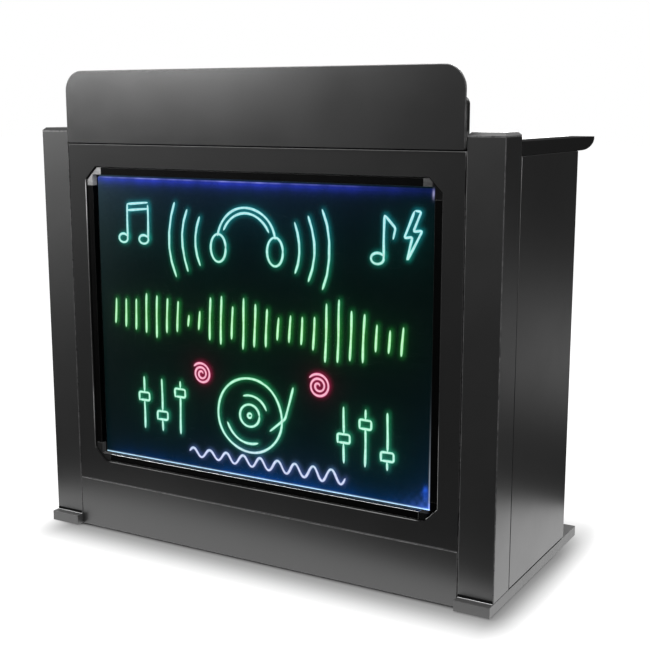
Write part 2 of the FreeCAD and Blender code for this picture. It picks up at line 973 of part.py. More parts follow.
def rail_body():
    """Hollow bezel with a channel for the sheets, a fixing flange and a rear lip."""
    face = size.bezel_face
    wall = size.rail_wall
    flange = size.front_thick - size.bezel_recess
    outer = [
        (0, 0),
        (face, 0),
        (face, flange),
        (face + size.flange_width, flange),
        (face + size.flange_width, flange + wall),
        (face, flange + wall),
        (face, rail_depth),
        (face - size.lip_width, rail_depth),
        (face - size.lip_width, lip_start),
        (face - wall, lip_start),
        (face - wall, size.bezel_depth),
        (0, size.bezel_depth),
    ]
    chamber = rectangle((wall, face - wall), (wall, size.bezel_depth - wall))
    return outer, chamber


def make_rails():
    leg = size.corner_leg
    wide = (view_half - leg) * 2
    tall = view_top - view_bottom - leg * 2
    starts = {
        "top": (view_half - leg, view_top, wide),
        "bottom": (leg - view_half, view_bottom, wide),
        "left": (-view_half, view_top - leg, tall),
        "right": (view_half, view_bottom + leg, tall),
    }
    for name, (x, z, length) in starts.items():
        body = new_body("Rail")
        add_pad(body, "XY_Plane", rail_body(), length)
        place(body, x, bezel_front, z, RAIL_TURNS[name])
        item = body
        if name == "bottom":
            radius = size.lead_radius + size.moving_gap
            item = cut(body, [drill(lead_point(), "Y", radius, -1, size.rail_wall + 1)])
        node(f"board_rail_{name}", item)


def make_corner_caps():
    """Chamfered corner pieces that join the rails."""
    face = size.bezel_face
    leg = size.corner_leg
    wall = size.rail_wall
    turn_in = face - corner_chamfer
    bezel = [
        (face, -leg),
        (face, turn_in),
        (turn_in, face),
        (-leg, face),
        (-leg, 0),
        (0, 0),
        (0, -leg),
    ]
    slant = wall * (DIAGONAL - 1)
    skin = [
        (face, -leg),
        (face, turn_in),
        (turn_in, face),
        (-leg, face),
        (-leg, face - wall),
        (turn_in - slant, face - wall),
        (face - wall, turn_in - slant),
        (face - wall, -leg),
    ]
    corners = {
        "right": (view_half, view_top),
        "top": (-view_half, view_top),
        "left": (-view_half, view_bottom),
        "bottom": (view_half, view_bottom),
    }
    caps = []
    for name, (x, z) in corners.items():
        body = new_body("CornerCap")
        add_pad(body, "XZ_Plane", [bezel], size.bezel_depth, reverse=True)
        add_pad(body, "XZ_Plane", [skin], rail_depth, reverse=True)
        place(body, x, bezel_front, z, RAIL_TURNS[name])
        caps.append(body)
    node("board_corner_caps", group(caps))


def make_sheets():
    """Clear writing sheet, its dark backing, and the light strips round the edge."""
    overlap = sheet_overlap
    land = size.corner_neck - (size.rail_wall + size.corner_play) * DIAGONAL
    outline = octagon(
        (-view_half - overlap, view_half + overlap),
        (view_bottom - overlap, view_top + overlap),
        overlap * 2 - land,
    )
    node("writing_sheet", plate("Writing", [outline], bezel_front + sheet_start, size.sheet_thick))
    node("backing_sheet", plate("Backing", [outline], bezel_front + backing_start, size.backing_thick))

    strip_far = size.bezel_face - size.rail_wall
    chip_near = strip_near - size.chip_height
    chip_middle = bezel_front + sheet_start + size.sheet_thick / 2
    strip_range = (bezel_front + sheet_start, bezel_front + lip_start - size.sheet_play)
    chip_range = (chip_middle - size.chip_width / 2, chip_middle + size.chip_width / 2)
    wide = view_half - size.corner_leg - size.seam_gap
    low = view_bottom + size.corner_leg + size.seam_gap
    high = view_top - size.corner_leg - size.seam_gap
    across_count = 16
    up_count = 12
    strips = []
    chips = []
    for sign, edge in ((1, view_top), (-1, view_bottom)):
        near, far = edge + strip_near * sign, edge + strip_far * sign
        level = (near, far) if sign > 0 else (far, near)
        strips.append(span_box((-wide, wide), strip_range, level))
        tip, root = edge + chip_near * sign, edge + strip_near * sign
        level = (tip, root) if sign > 0 else (root, tip)
        for number in range(across_count):
            middle = wide * ((2 * number + 1) / across_count - 1)
            span = (middle - size.chip_length / 2, middle + size.chip_length / 2)
            chips.append(span_box(span, chip_range, level))
    for sign in (-1, 1):
        strips.append(
            span_box(
                outward(sign, view_half + strip_near, view_half + strip_far),
                strip_range,
                (low, high),
            )
        )
        for number in range(up_count):
            middle = low + (high - low) * ((2 * number + 1) / (2 * up_count))
            span = (middle - size.chip_length / 2, middle + size.chip_length / 2)
            reach = outward(sign, view_half + chip_near, view_half + strip_near)
            chips.append(span_box(reach, chip_range, span))
    node("led_strips", group(strips))
    node("led_chips", group(chips))


def make_turn_buttons():
    """Flat turn buttons that hold the board's flange against the front panel."""
    screws = []
    plate_start = size.rail_wall + size.turn_lift
    plate_end = plate_start + size.turn_thick
    for name, (sign, pivot) in turn_pivots().items():
        inward = -turn_reach * sign
        tip = (pivot[0] + inward + turn_half_width * sign, pivot[1], pivot[2])
        x_range = (tip[0], pivot[0]) if sign > 0 else (pivot[0], tip[0])
        bar = span_box(
            x_range,
            (panel_back + plate_start, panel_back + plate_end),
            (pivot[2] - turn_half_width, pivot[2] + turn_half_width),
        )
        boss = drill(pivot, "Y", turn_half_width, 0, plate_end)
        round_tip = drill(tip, "Y", turn_half_width, plate_start, plate_end)
        radius = size.small_screw_radius + size.moving_gap
        hole = drill(pivot, "Y", radius, -1, plate_end + 1)
        node(f"turn_button_{name}", cut(fuse([bar, boss, round_tip]), [hole]))
        seat = along(pivot, "Y", plate_end + size.moving_gap)
        length = plate_end + size.moving_gap + size.wood_screw_bite
        screws.append(small_screw(seat, "-Y", length))
    node("turn_button_screws", group(screws))


def make_controls():
    """Control box on the back of the board with its circuit, button, socket and lead."""
    wall = size.control_wall
    left = control_middle - size.control_width / 2
    right = control_middle + size.control_width / 2
    low = view_bottom + size.control_rise
    high = low + size.control_height
    base_front = bezel_front + backing_start + size.backing_thick
    base_back = base_front + size.control_depth - wall
    cover_back = base_back + wall
    floor = base_front + wall
    middle = (low + high) / 2
    circuit_front = floor + size.control_rib_height
    circuit_back = circuit_front + size.circuit_thick
    switch_back = circuit_back + size.switch_height

    shell = cut(
        span_box((left, right), (base_front, base_back), (low, high)),
        [
            span_box(
                (left + wall, right - wall),
                (floor, base_back + 1),
                (low + wall, high - wall),
            )
        ],
    )
    post = size.control_post_radius
    post_inset = wall / 2 + post
    post_x = (left + post_inset, right - post_inset)
    post_z = (low + post_inset, high - post_inset)
    posts = []
    post_tools = []
    cover_tools = []
    screws = []
    screw_length = wall + size.wood_screw_bite
    for x in post_x:
        for z in post_z:
            seat = (x, cover_back, z)
            posts.append(drill(seat, "-Y", post, wall, size.control_depth))
            post_tools.append(drill(seat, "-Y", small_hole, 0, screw_length + size.hole_gap))
            cover_tools.append(drill(seat, "-Y", small_hole, -1, wall + 1))
            screws.append(small_screw(seat, "-Y", screw_length))
    ribs = []
    for share in (-0.25, 0.25):
        rib_middle = control_middle + size.control_width * share
        ribs.append(
            span_box(
                (rib_middle - wall / 2, rib_middle + wall / 2),
                (floor - wall / 2, circuit_front),
                (low + wall / 2, high - wall / 2),
            )
        )
    lead_x, _, lead_z = lead_point()
    lead_y = circuit_back + size.lead_radius * 2
    lead_hole = size.lead_radius + size.moving_gap
    base_tools = [drill((lead_x, lead_y, low), "Z", lead_hole, -1, wall + 1)]
    node("control_box_base", cut(fuse([shell] + posts + ribs), base_tools + post_tools))

    button = (control_middle - size.control_width * 0.22, cover_back, middle)
    socket = (control_middle + size.control_width * 0.26, cover_back, middle)
    eye = (control_middle - size.control_width * 0.36, cover_back, middle)
    for point, radius in (
        (button, size.button_radius),
        (socket, size.socket_radius),
        (eye, size.eye_radius),
    ):
        cover_tools.append(drill(point, "-Y", radius + size.moving_gap, -1, wall + 1))
    cover = span_box((left, right), (base_back, cover_back), (low, high))
    node("control_box_cover", cut(cover, cover_tools))
    node("control_screws", group(screws))

    inset = post_inset + post + size.seam_gap
    board = span_box(
        (left + inset, right - inset),
        (circuit_front, circuit_back),
        (low + size.circuit_margin, high - size.circuit_margin),
    )
    switch = span_box(
        (button[0] - size.button_radius, button[0] + size.button_radius),
        (circuit_back - size.circuit_thick / 2, switch_back),
        (middle - size.button_radius, middle + size.button_radius),
    )
    node("circuit_board", fuse([board, switch]))

    collar_back = base_back - size.moving_gap
    collar_front = collar_back - wall / 2
    stem_front = switch_back + size.button_travel + size.moving_gap
    stem = cylinder(
        button[0],
        stem_front,
        middle,
        "Y",
        size.button_radius,
        cover_back + size.button_proud - stem_front,
    )
    collar = cylinder(
        button[0],
        collar_front,
        middle,
        "Y",
        size.button_radius + wall / 2,
        collar_back - collar_front,
    )
    node("mode_button", fuse([stem, collar]))

    barrel_length = cover_back + size.button_travel - circuit_back
    barrel = cylinder(socket[0], circuit_back, middle, "Y", size.socket_radius, barrel_length)
    bore_start = circuit_back + wall
    bore = cylinder(socket[0], bore_start, middle, "Y", size.socket_bore, barrel_length)
    pin = cylinder(
        socket[0],
        circuit_back + wall / 2,
        middle,
        "Y",
        size.socket_pin,
        barrel_length - wall,
    )
    node("dc_socket", fuse([cut(barrel, [bore]), pin]))

    eye_length = cover_back - circuit_back
    eye_stem = cylinder(eye[0], circuit_back, middle, "Y", size.eye_radius, eye_length)
    dome = DOC.addObject("Part::Sphere", "Dome")
    bind(dome, "Radius", size.eye_radius)
    place(dome, eye[0], cover_back, middle)
    node("infrared_eye", fuse([eye_stem, dome]))

    bend_y = lead_y - size.lead_bend
    bend_z = lead_z + size.lead_bend
    lead_end = bezel_front + lip_start
    drop = cylinder(lead_x, lead_y, bend_z, "Z", size.lead_radius, low + wall * 2 - bend_z)
    bend = DOC.addObject("Part::Torus", "LeadBend")
    bind(bend, "Radius1", size.lead_bend)
    bind(bend, "Radius2", size.lead_radius)
    bend.Angle3 = 90
    turn = FreeCAD.Rotation(vector(0, 1, 0), vector(0, 0, -1), vector(-1, 0, 0))
    place(bend, lead_x, bend_y, bend_z, turn)
    inlet = cylinder(lead_x, lead_end, lead_z, "Y", size.lead_radius, bend_y - lead_end)
    node("led_lead", fuse([drop, bend, inlet]))


def check_and_export():
    """Refuses a broken document, then writes one file for each node."""
    DOC.recompute()
    faults = [item.Label for item in DOC.Objects if {"Invalid", "Error"} & set(item.State)]
    if faults:
        raise RuntimeError(f"objects in error: {faults}")
    for label, item in NODES.items():
        shape = item.Shape
        if shape.isNull() or not shape.isValid() or not shape.Solids:
            raise RuntimeError(f"bad shape: {label}")
    os.makedirs("parts", exist_ok=True)
    for label, item in NODES.items():
        item.Shape.exportStep(f"parts/{label}.step")


make_floor_bars()
make_columns()
make_front()
make_shield()
make_worktop()
make_wings()
make_rails()
make_corner_caps()
make_sheets()
make_turn_buttons()
make_controls()
check_and_export()
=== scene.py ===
"""Looks of the DJ booth: finishes, softened edges, lit writing board, studio and camera."""

import json
import math
import random

import bmesh
import bpy
import numpy as np
from mathutils.geometry import tessellate_polygon
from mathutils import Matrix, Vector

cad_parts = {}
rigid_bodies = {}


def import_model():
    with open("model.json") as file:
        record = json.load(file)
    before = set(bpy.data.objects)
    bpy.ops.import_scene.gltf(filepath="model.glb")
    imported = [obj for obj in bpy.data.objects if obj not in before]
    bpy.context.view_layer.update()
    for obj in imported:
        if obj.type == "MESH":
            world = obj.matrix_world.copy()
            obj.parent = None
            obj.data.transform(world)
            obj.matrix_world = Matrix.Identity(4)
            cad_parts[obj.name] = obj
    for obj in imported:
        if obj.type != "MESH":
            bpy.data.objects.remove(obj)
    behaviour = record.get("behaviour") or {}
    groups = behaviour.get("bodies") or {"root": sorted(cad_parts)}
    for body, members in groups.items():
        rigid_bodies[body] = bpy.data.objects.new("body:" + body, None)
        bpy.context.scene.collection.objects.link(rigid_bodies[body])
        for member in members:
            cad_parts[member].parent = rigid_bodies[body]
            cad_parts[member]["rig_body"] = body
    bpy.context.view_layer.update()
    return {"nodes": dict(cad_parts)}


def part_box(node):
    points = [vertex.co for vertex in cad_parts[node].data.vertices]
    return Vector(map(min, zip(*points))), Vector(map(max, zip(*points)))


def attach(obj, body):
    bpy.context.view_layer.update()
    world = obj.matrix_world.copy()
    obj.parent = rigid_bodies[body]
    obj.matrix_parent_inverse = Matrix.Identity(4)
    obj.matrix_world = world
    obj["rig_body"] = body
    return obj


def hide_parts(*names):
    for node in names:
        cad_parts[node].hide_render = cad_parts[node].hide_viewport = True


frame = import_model()
NODES = frame["nodes"]
MM = 0.001
VIEW_LOW = (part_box("board_rail_left")[1].x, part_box("board_rail_bottom")[1].z)
VIEW_HIGH = (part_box("board_rail_right")[0].x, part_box("board_rail_top")[0].z)
BOARD_MIDDLE = tuple((low + high) / 2 for low, high in zip(VIEW_LOW, VIEW_HIGH))


class Shader:
    """One procedural material: a Principled shader and the nodes that feed it."""

    MIX_COLOURS_IN = (6, 7)
    MIX_COLOUR_OUT = 2

    def __init__(self, name, **constants):
        self.material = bpy.data.materials.new(name)
        self.material.use_nodes = True
        self.tree = self.material.node_tree
        self.surface = self.tree.nodes["Principled BSDF"]
        for socket, value in constants.items():
            self.surface.inputs[socket.replace("_", " ")].default_value = value
        self.place = self.add("ShaderNodeTexCoord").outputs["Object"]

    def add(self, kind, inputs=None, **settings):
        node = self.tree.nodes.new(kind)
        for key, value in settings.items():
            setattr(node, key, value)
        for key, value in (inputs or {}).items():
            if isinstance(value, bpy.types.NodeSocket):
                self.tree.links.new(value, node.inputs[key])
            else:
                node.inputs[key].default_value = value
        return node

    def stretched(self, scale):
        """The object's own coordinates, drawn out per axis."""
        return self.add("ShaderNodeMapping", {"Vector": self.place, "Scale": scale}).outputs[0]

    def axes(self, vector=None):
        """The X, Y and Z of a place."""
        return self.add("ShaderNodeSeparateXYZ", {0: vector or self.place}).outputs

    def calc(self, operation, first, second=0.0, clamp=False):
        settings = {"operation": operation, "use_clamp": clamp}
        return self.add("ShaderNodeMath", {0: first, 1: second}, **settings).outputs[0]

    def noise(self, scale, detail=2.0, roughness=0.5, vector=None):
        return self.add(
            "ShaderNodeTexNoise",
            {"Vector": vector or self.place, "Scale": scale, "Detail": detail, "Roughness": roughness},
        ).outputs["Fac"]

    def cells(self, scale, feature="F1", vector=None):
        return self.add(
            "ShaderNodeTexVoronoi", {"Vector": vector or self.place, "Scale": scale}, feature=feature
        ).outputs["Distance"]

    def ramp(self, value, stops):
        """A colour or grey level for each value, from (position, level or colour) stops."""
        node = self.add("ShaderNodeValToRGB", {"Fac": value})
        points = node.color_ramp.elements
        while len(points) < len(stops):
            points.new(1.0)
        for point, (position, level) in zip(points, stops):
            point.position = position
            point.color = self.rgba(level)
        return node.outputs["Color"]

    def mix(self, share, first, second, blend="MIX"):
        node = self.add("ShaderNodeMix", data_type="RGBA", blend_type=blend)
        sockets = [node.inputs["Factor"], *(node.inputs[i] for i in self.MIX_COLOURS_IN)]
        for socket, value in zip(sockets, (share, first, second)):
            if isinstance(value, bpy.types.NodeSocket):
                self.tree.links.new(value, socket)
            else:
                socket.default_value = value if socket.type == "VALUE" else self.rgba(value)
        return node.outputs[self.MIX_COLOUR_OUT]

    @staticmethod
    def rgba(level):
        """A grey level or a colour as four channels."""
        return (*(level if isinstance(level, tuple) else (level,) * 3), 1.0)

    def feed(self, **sources):
        for socket, source in sources.items():
            self.tree.links.new(source, self.surface.inputs[socket.replace("_", " ")])

    def bump(self, height, strength, depth, under=None):
        inputs = {"Height": height, "Strength": strength, "Distance": depth}
        if under is not None:
            inputs["Normal"] = under
        normal = self.add("ShaderNodeBump", inputs).outputs["Normal"]
        self.feed(Normal=normal)
        return normal


def paint(name, dark, light, rough_low, rough_high, ior):
    """Satin black paint: faint orange peel, uneven sheen and a little dust."""
    shader = Shader(name, Specular_IOR_Level=0.5, IOR=ior)
    clouds = shader.noise(2.6, 5.0, 0.62)
    specks = shader.noise(310.0, 3.0, 0.7)
    colour = shader.ramp(clouds, [(0.3, dark), (0.72, light)])
    dust = shader.ramp(specks, [(0.62, 0.0), (0.80, 0.10)])
    colour = shader.mix(dust, colour, (0.05, 0.05, 0.052))
    sheen = shader.ramp(shader.noise(5.5, 6.0, 0.7), [(0.32, rough_low), (0.70, rough_high)])
    shader.feed(Base_Color=colour, Roughness=sheen)
    shader.bump(shader.noise(520.0, 2.0), 0.10, 0.0003)
    return shader, colour


def lacquer(*settings):
    """Paint with no wear; takes what paint() takes."""
    return paint(*settings)[0].material


# Level of painted highlight by height in metres: side panel, and the window's left and right edges.
PANEL_HIGHLIGHT = [(0.40, 0.02), (0.70, 0.12), (0.86, 0.26), (0.93, 0.58)]
LEFT_HIGHLIGHT = [
    (0.20, 0.08), (0.25, 0.10), (0.28, 0.24), (0.34, 0.38), (0.37, 0.12), (0.43, 0.08),
    (0.58, 0.09), (0.70, 0.18), (0.76, 0.35), (0.79, 0.65), (0.86, 0.75), (0.885, 0.06),
]
RIGHT_HIGHLIGHT = [(0.214, 0.17), (0.222, 0.30), (0.36, 0.30), (0.40, 0.05), (0.45, 0.02)]
# Levels of the painted shade on the frame's outer arrises and the painted highlight on its upper arris, the
# matt grey on the bar's top behind the side panel, and the painted shade at the cut corners and along the
# shield's foot.
OUTER_SHADE = 0.03
TOP_HIGHLIGHT = 0.32
BAR_TAIL_GREY = 0.19
CORNER_SHADE = 0.014
SHIELD_FOOT_SHADE = 0.004
RUBBED_GLOSS = 0.55


def bar_lacquer(name):
    """Floor bar paint; on top behind the side panel it is a matt, paler grey with no sheen."""
    shader, colour = paint(name, 0.045, 0.060, 0.36, 0.42, 1.65)
    spot = shader.axes()
    top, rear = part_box("base_bar_right")[1].z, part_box("side_panel_right")[1].y
    on_top = shader.calc("GREATER_THAN", spot[2], top - 0.2 * MM)
    behind = shader.ramp(spot[1], [(rear - 8 * MM, 0.0), (rear - 3 * MM, 1.0)])
    tail_top = shader.mix(1.0, on_top, behind, "MULTIPLY")
    shader.feed(
        Base_Color=shader.mix(tail_top, colour, BAR_TAIL_GREY),
        Specular_IOR_Level=shader.ramp(tail_top, [(0.0, 0.5), (1.0, 0.0)]),
    )
    return shader.material


def panel_edge(name):
    """Side panel edge: lacquered, with a painted highlight along the front, most of all near the top."""
    shader, colour = paint(name, 0.006, 0.009, 0.32, 0.36, 1.75)
    spot = shader.axes()
    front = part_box("side_panel_right")[0].y
    at_front = shader.calc("LESS_THAN", spot[1], front + 0.7 * MM)
    front_highlight = shader.ramp(spot[2], PANEL_HIGHLIGHT)
    shader.feed(Base_Color=shader.mix(at_front, colour, front_highlight))
    return shader.material


def edge_wear_and_highlight(name, dark, light, shaded_below=None):
    """Paint rubbed thin and polished along an arris, paler there both as wear and as a painted highlight;
    below a height, dark and dull as painted shade.
    """
    shader = Shader(name, Specular_IOR_Level=RUBBED_GLOSS, IOR=1.5)
    rub = shader.ramp(shader.noise(46.0, 6.0, 0.7), [(0.38, 0.0), (0.66, 1.0)])
    colour = shader.mix(rub, dark, light)
    sheen = shader.ramp(shader.noise(120.0, 3.0), [(0.3, 0.24), (0.7, 0.40)])
    if shaded_below is not None:
        # Below the given height the arris gets a dark, dull band of painted shade.
        unshaded = shader.ramp(shader.axes()[2], [(shaded_below, 0.0), (shaded_below + 3 * MM, 1.0)])
        colour = shader.mix(unshaded, SHIELD_FOOT_SHADE, colour)
        shader.feed(Specular_IOR_Level=shader.ramp(unshaded, [(0.0, 0.0), (1.0, RUBBED_GLOSS)]))
    shader.feed(Base_Color=colour, Roughness=sheen)
    shader.bump(shader.noise(260.0, 3.0), 0.15, 0.0003)
    return shader.material


def window_edge(name):
    """Rubbed paint round the window, with painted highlights along its sides and top, painted shade at its
    outermost edges, and dull paint as painted shade where its edge turns the cut corners.
    """
    shader = Shader(name, IOR=1.5)
    centre = (BOARD_MIDDLE[0], 0.0, BOARD_MIDDLE[1])
    place = shader.add("ShaderNodeVectorMath", {0: shader.place, 1: centre}, operation="SUBTRACT")
    away = shader.add("ShaderNodeVectorMath", {0: place.outputs[0]}, operation="ABSOLUTE")
    along = shader.axes(away.outputs[0])
    wide, tall = (high - middle for high, middle in zip(VIEW_HIGH, BOARD_MIDDLE))
    at_side = shader.ramp(along[0], [(wide - 30 * MM, 0.0), (wide - 26 * MM, 1.0)])
    at_end = shader.ramp(along[2], [
        (tall - 14 * MM, 0.0), (tall - 10 * MM, 1.0), (tall + 35 * MM, 1.0), (tall + 40 * MM, 0.0),
    ])
    corner = shader.mix(1.0, at_side, at_end, "MULTIPLY")
    spot = shader.axes()
    # Painted highlights by height on the window's left and right arrises.
    on_left = shader.ramp(spot[2], LEFT_HIGHLIGHT)
    on_right = shader.ramp(spot[2], RIGHT_HIGHLIGHT)
    edge_light_and_shade = shader.mix(shader.ramp(spot[0], [(0.0, 0.0), (0.01, 1.0)]), on_left, on_right)
    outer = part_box("front_frame")[1]
    # Painted shade at the outermost edges and a painted highlight along the top.
    outermost = shader.ramp(along[0], [(outer.x - 32 * MM, 0.0), (outer.x - 22 * MM, 1.0)])
    uppermost = shader.ramp(spot[2], [(outer.z - 11 * MM, 0.0), (outer.z - 4 * MM, 1.0)])
    edge_light_and_shade = shader.mix(outermost, edge_light_and_shade, OUTER_SHADE)
    edge_light_and_shade = shader.mix(uppermost, edge_light_and_shade, TOP_HIGHLIGHT)
    rub = shader.ramp(shader.noise(46.0, 6.0, 0.7), [(0.38, 0.75), (0.66, 1.0)])
    shader.feed(
        Base_Color=shader.mix(corner, shader.mix(1.0, edge_light_and_shade, rub, "MULTIPLY"), CORNER_SHADE),
        Roughness=shader.ramp(shader.noise(120.0, 3.0), [(0.3, 0.24), (0.7, 0.40)]),
        Specular_IOR_Level=shader.ramp(corner, [(0.0, RUBBED_GLOSS), (1.0, 0.0)]),
    )
    shader.bump(shader.noise(260.0, 3.0), 0.15, 0.0003)
    return shader.material


MATT_FROM, MATT_FULL = 0.515, 0.545


def laminate(name):
    """Fine pearl-textured worktop laminate with scuffs, matt and dark towards both ends."""
    shader = Shader(name)
    grain = shader.cells(620.0)
    scuff = shader.noise(1.0, 8.0, 0.75, shader.stretched((14.0, 90.0, 14.0)))
    colour = shader.ramp(grain, [(0.0, 0.008), (0.6, 0.016)])
    colour = shader.mix(shader.ramp(scuff, [(0.64, 0.0), (0.74, 0.16)]), colour, (0.10, 0.10, 0.10))
    sheen = shader.ramp(shader.noise(60.0, 4.0, 0.6), [(0.3, 0.16), (0.7, 0.20)])
    from_middle = shader.calc("ABSOLUTE", shader.axes()[0])
    matt = shader.ramp(from_middle, [(MATT_FROM, 0.0), (MATT_FULL, 1.0)])
    colour = shader.mix(matt, colour, 0.022)
    gloss = shader.ramp(from_middle, [(MATT_FROM, 0.4), (MATT_FULL, 0.0)])
    shader.feed(Base_Color=colour, Roughness=sheen, Specular_IOR_Level=gloss)
    shader.bump(grain, 0.04, 0.0002)
    return shader.material


def timber(name):
    """Black-stained pine: the grain still shows through the stain."""
    shader = Shader(name, Specular_IOR_Level=0.35)
    grain = shader.noise(1.0, 7.0, 0.68, shader.stretched((34.0, 190.0, 5.0)))
    pores = shader.noise(1.0, 3.0, 0.6, shader.stretched((520.0, 520.0, 36.0)))
    colour = shader.ramp(grain, [(0.30, (0.016, 0.014, 0.013)), (0.72, (0.060, 0.046, 0.036))])
    colour = shader.mix(shader.ramp(pores, [(0.60, 0.0), (0.70, 0.6)]), colour, (0.008, 0.007, 0.007))
    shader.feed(Base_Color=colour, Roughness=shader.ramp(grain, [(0.3, 0.70), (0.7, 0.52)]))
    under = shader.bump(grain, 0.25, 0.0006)
    shader.bump(pores, 0.20, 0.0003, under)
    return shader.material


def brushed(name, dark, light, rough_low, rough_high, metallic, lines):
    """Drawn or brushed metal with its marks along the given axes."""
    shader = Shader(name, Metallic=metallic, Specular_IOR_Level=0.3)
    marks = shader.noise(1.0, 4.0, 0.6, shader.stretched(lines))
    clouds = shader.noise(24.0, 4.0, 0.6)
    shades = shader.ramp(marks, [(0.3, dark), (0.7, light)])
    colour = shader.mix(shader.ramp(clouds, [(0.3, 0.0), (0.7, 0.5)]), shades, light)
    shader.feed(Base_Color=colour, Roughness=shader.ramp(marks, [(0.25, rough_low), (0.75, rough_high)]))
    shader.bump(marks, 0.12, 0.0002)
    return shader.material


def corner_silver(name):
    """Silver film on the front of the plastic, paler towards the upper left and darker on the lower corners
    as painted light, with painted shade on the outer part of the right-hand corners; its sides are matt.
    """
    shader = Shader(name)
    # Painted light: the film grows paler towards the upper left.
    painted_light_from = (-0.35, 0.0, 0.80)
    lean = shader.add("ShaderNodeVectorMath", {0: shader.place, 1: painted_light_from}, operation="DOT_PRODUCT")
    film = shader.ramp(lean.outputs["Value"], [(0.0, 0.03), (0.32, 0.08), (0.55, 0.24), (0.86, 0.50)])
    grain = shader.noise(240.0, 4.0, 0.6)
    rub = shader.ramp(grain, [(0.3, 0.75), (0.7, 1.0)])
    along = shader.axes()
    # Painted shade on the outer part of the right-hand corners.
    right_shade = shader.ramp(along[0], [(VIEW_HIGH[0] - 8 * MM, 1.0), (VIEW_HIGH[0] - 5 * MM, 0.12)])
    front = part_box("board_corner_caps")[0].y
    depth = {"Value": along[1], "From Min": front + 0.5 * MM, "From Max": front + 0.8 * MM}
    shine = shader.add("ShaderNodeMapRange", {**depth, "To Min": 1.0, "To Max": 0.0}).outputs[0]
    shader.feed(
        Metallic=shine,
        Specular_IOR_Level=shader.ramp(shine, [(0.0, 0.0), (1.0, 0.3)]),
        Base_Color=shader.mix(1.0, shader.mix(1.0, film, right_shade, "MULTIPLY"), rub, "MULTIPLY"),
        Roughness=shader.ramp(shader.noise(90.0, 4.0, 0.6), [(0.3, 0.27), (0.7, 0.34)]),
    )
    shader.bump(grain, 0.10, 0.0002)
    return shader.material


def moulded(name, dark, light, rough_low, rough_high, scale=900.0, strength=0.2):
    """Moulded plastic or rubber with a fine spark-eroded grain."""
    shader = Shader(name, Specular_IOR_Level=0.45)
    grain = shader.cells(scale)
    clouds = shader.noise(40.0, 4.0, 0.6)
    shader.feed(
        Base_Color=shader.ramp(clouds, [(0.3, dark), (0.7, light)]),
        Roughness=shader.ramp(shader.noise(150.0, 3.0), [(0.3, rough_low), (0.7, rough_high)]),
    )
    shader.bump(grain, strength, 0.0002)
    return shader.material


def clear_sheet(name):
    """Clear acrylic with faint wiping marks."""
    shader = Shader(name, Transmission_Weight=1.0, IOR=1.2, Specular_IOR_Level=0.5)
    wipes = shader.noise(1.0, 5.0, 0.7, shader.stretched((5.0, 5.0, 16.0)))
    shader.feed(
        Base_Color=shader.ramp(wipes, [(0.3, 0.96), (0.7, 1.0)]),
        Roughness=shader.ramp(wipes, [(0.45, 0.02), (0.75, 0.09)]),
    )
    shader.bump(shader.noise(3.0, 3.0), 0.02, 0.0005)
    return shader.material


def backing(name, gloss=0.25):
    """Matt black board or foam."""
    shader = Shader(name, Specular_IOR_Level=gloss)
    fibres = shader.noise(700.0, 3.0, 0.6)
    shader.feed(
        Base_Color=shader.ramp(shader.noise(14.0, 5.0, 0.65), [(0.3, 0.006), (0.7, 0.012)]),
        Roughness=shader.ramp(fibres, [(0.3, 0.72), (0.7, 0.9)]),
    )
    shader.bump(fibres, 0.2, 0.0002)
    return shader.material


def light_chip(name, colour, strength):
    """A light chip: yellow phosphor window that shines."""
    shader = Shader(name, Emission_Strength=strength, Roughness=0.4)
    spots = shader.cells(900.0)
    shader.feed(
        Base_Color=shader.ramp(spots, [(0.1, (0.9, 0.85, 0.55)), (0.6, (0.75, 0.72, 0.6))]),
        Emission_Color=shader.ramp(spots, [(0.1, colour), (0.7, tuple(c * 0.7 for c in colour))]),
    )
    shader.bump(spots, 0.1, 0.0001)
    return shader.material


def glowing(name, strength):
    """Light given off as painted on the mesh, with the unevenness of hand-laid ink."""
    shader = Shader(name, Emission_Strength=strength, Base_Color=(0.0, 0.0, 0.0, 1.0), Specular_IOR_Level=0.0)
    painted = shader.add("ShaderNodeAttribute", attribute_name="ink").outputs["Color"]
    streaks = shader.ramp(shader.noise(160.0, 4.0, 0.65), [(0.25, 0.74), (0.65, 1.0)])
    shader.feed(
        Emission_Color=shader.mix(1.0, painted, streaks, "MULTIPLY"),
        Roughness=shader.ramp(shader.noise(400.0, 2.0), [(0.3, 0.45), (0.7, 0.7)]),
    )
    shader.bump(shader.noise(500.0, 2.0), 0.1, 0.0001)
    return shader.material


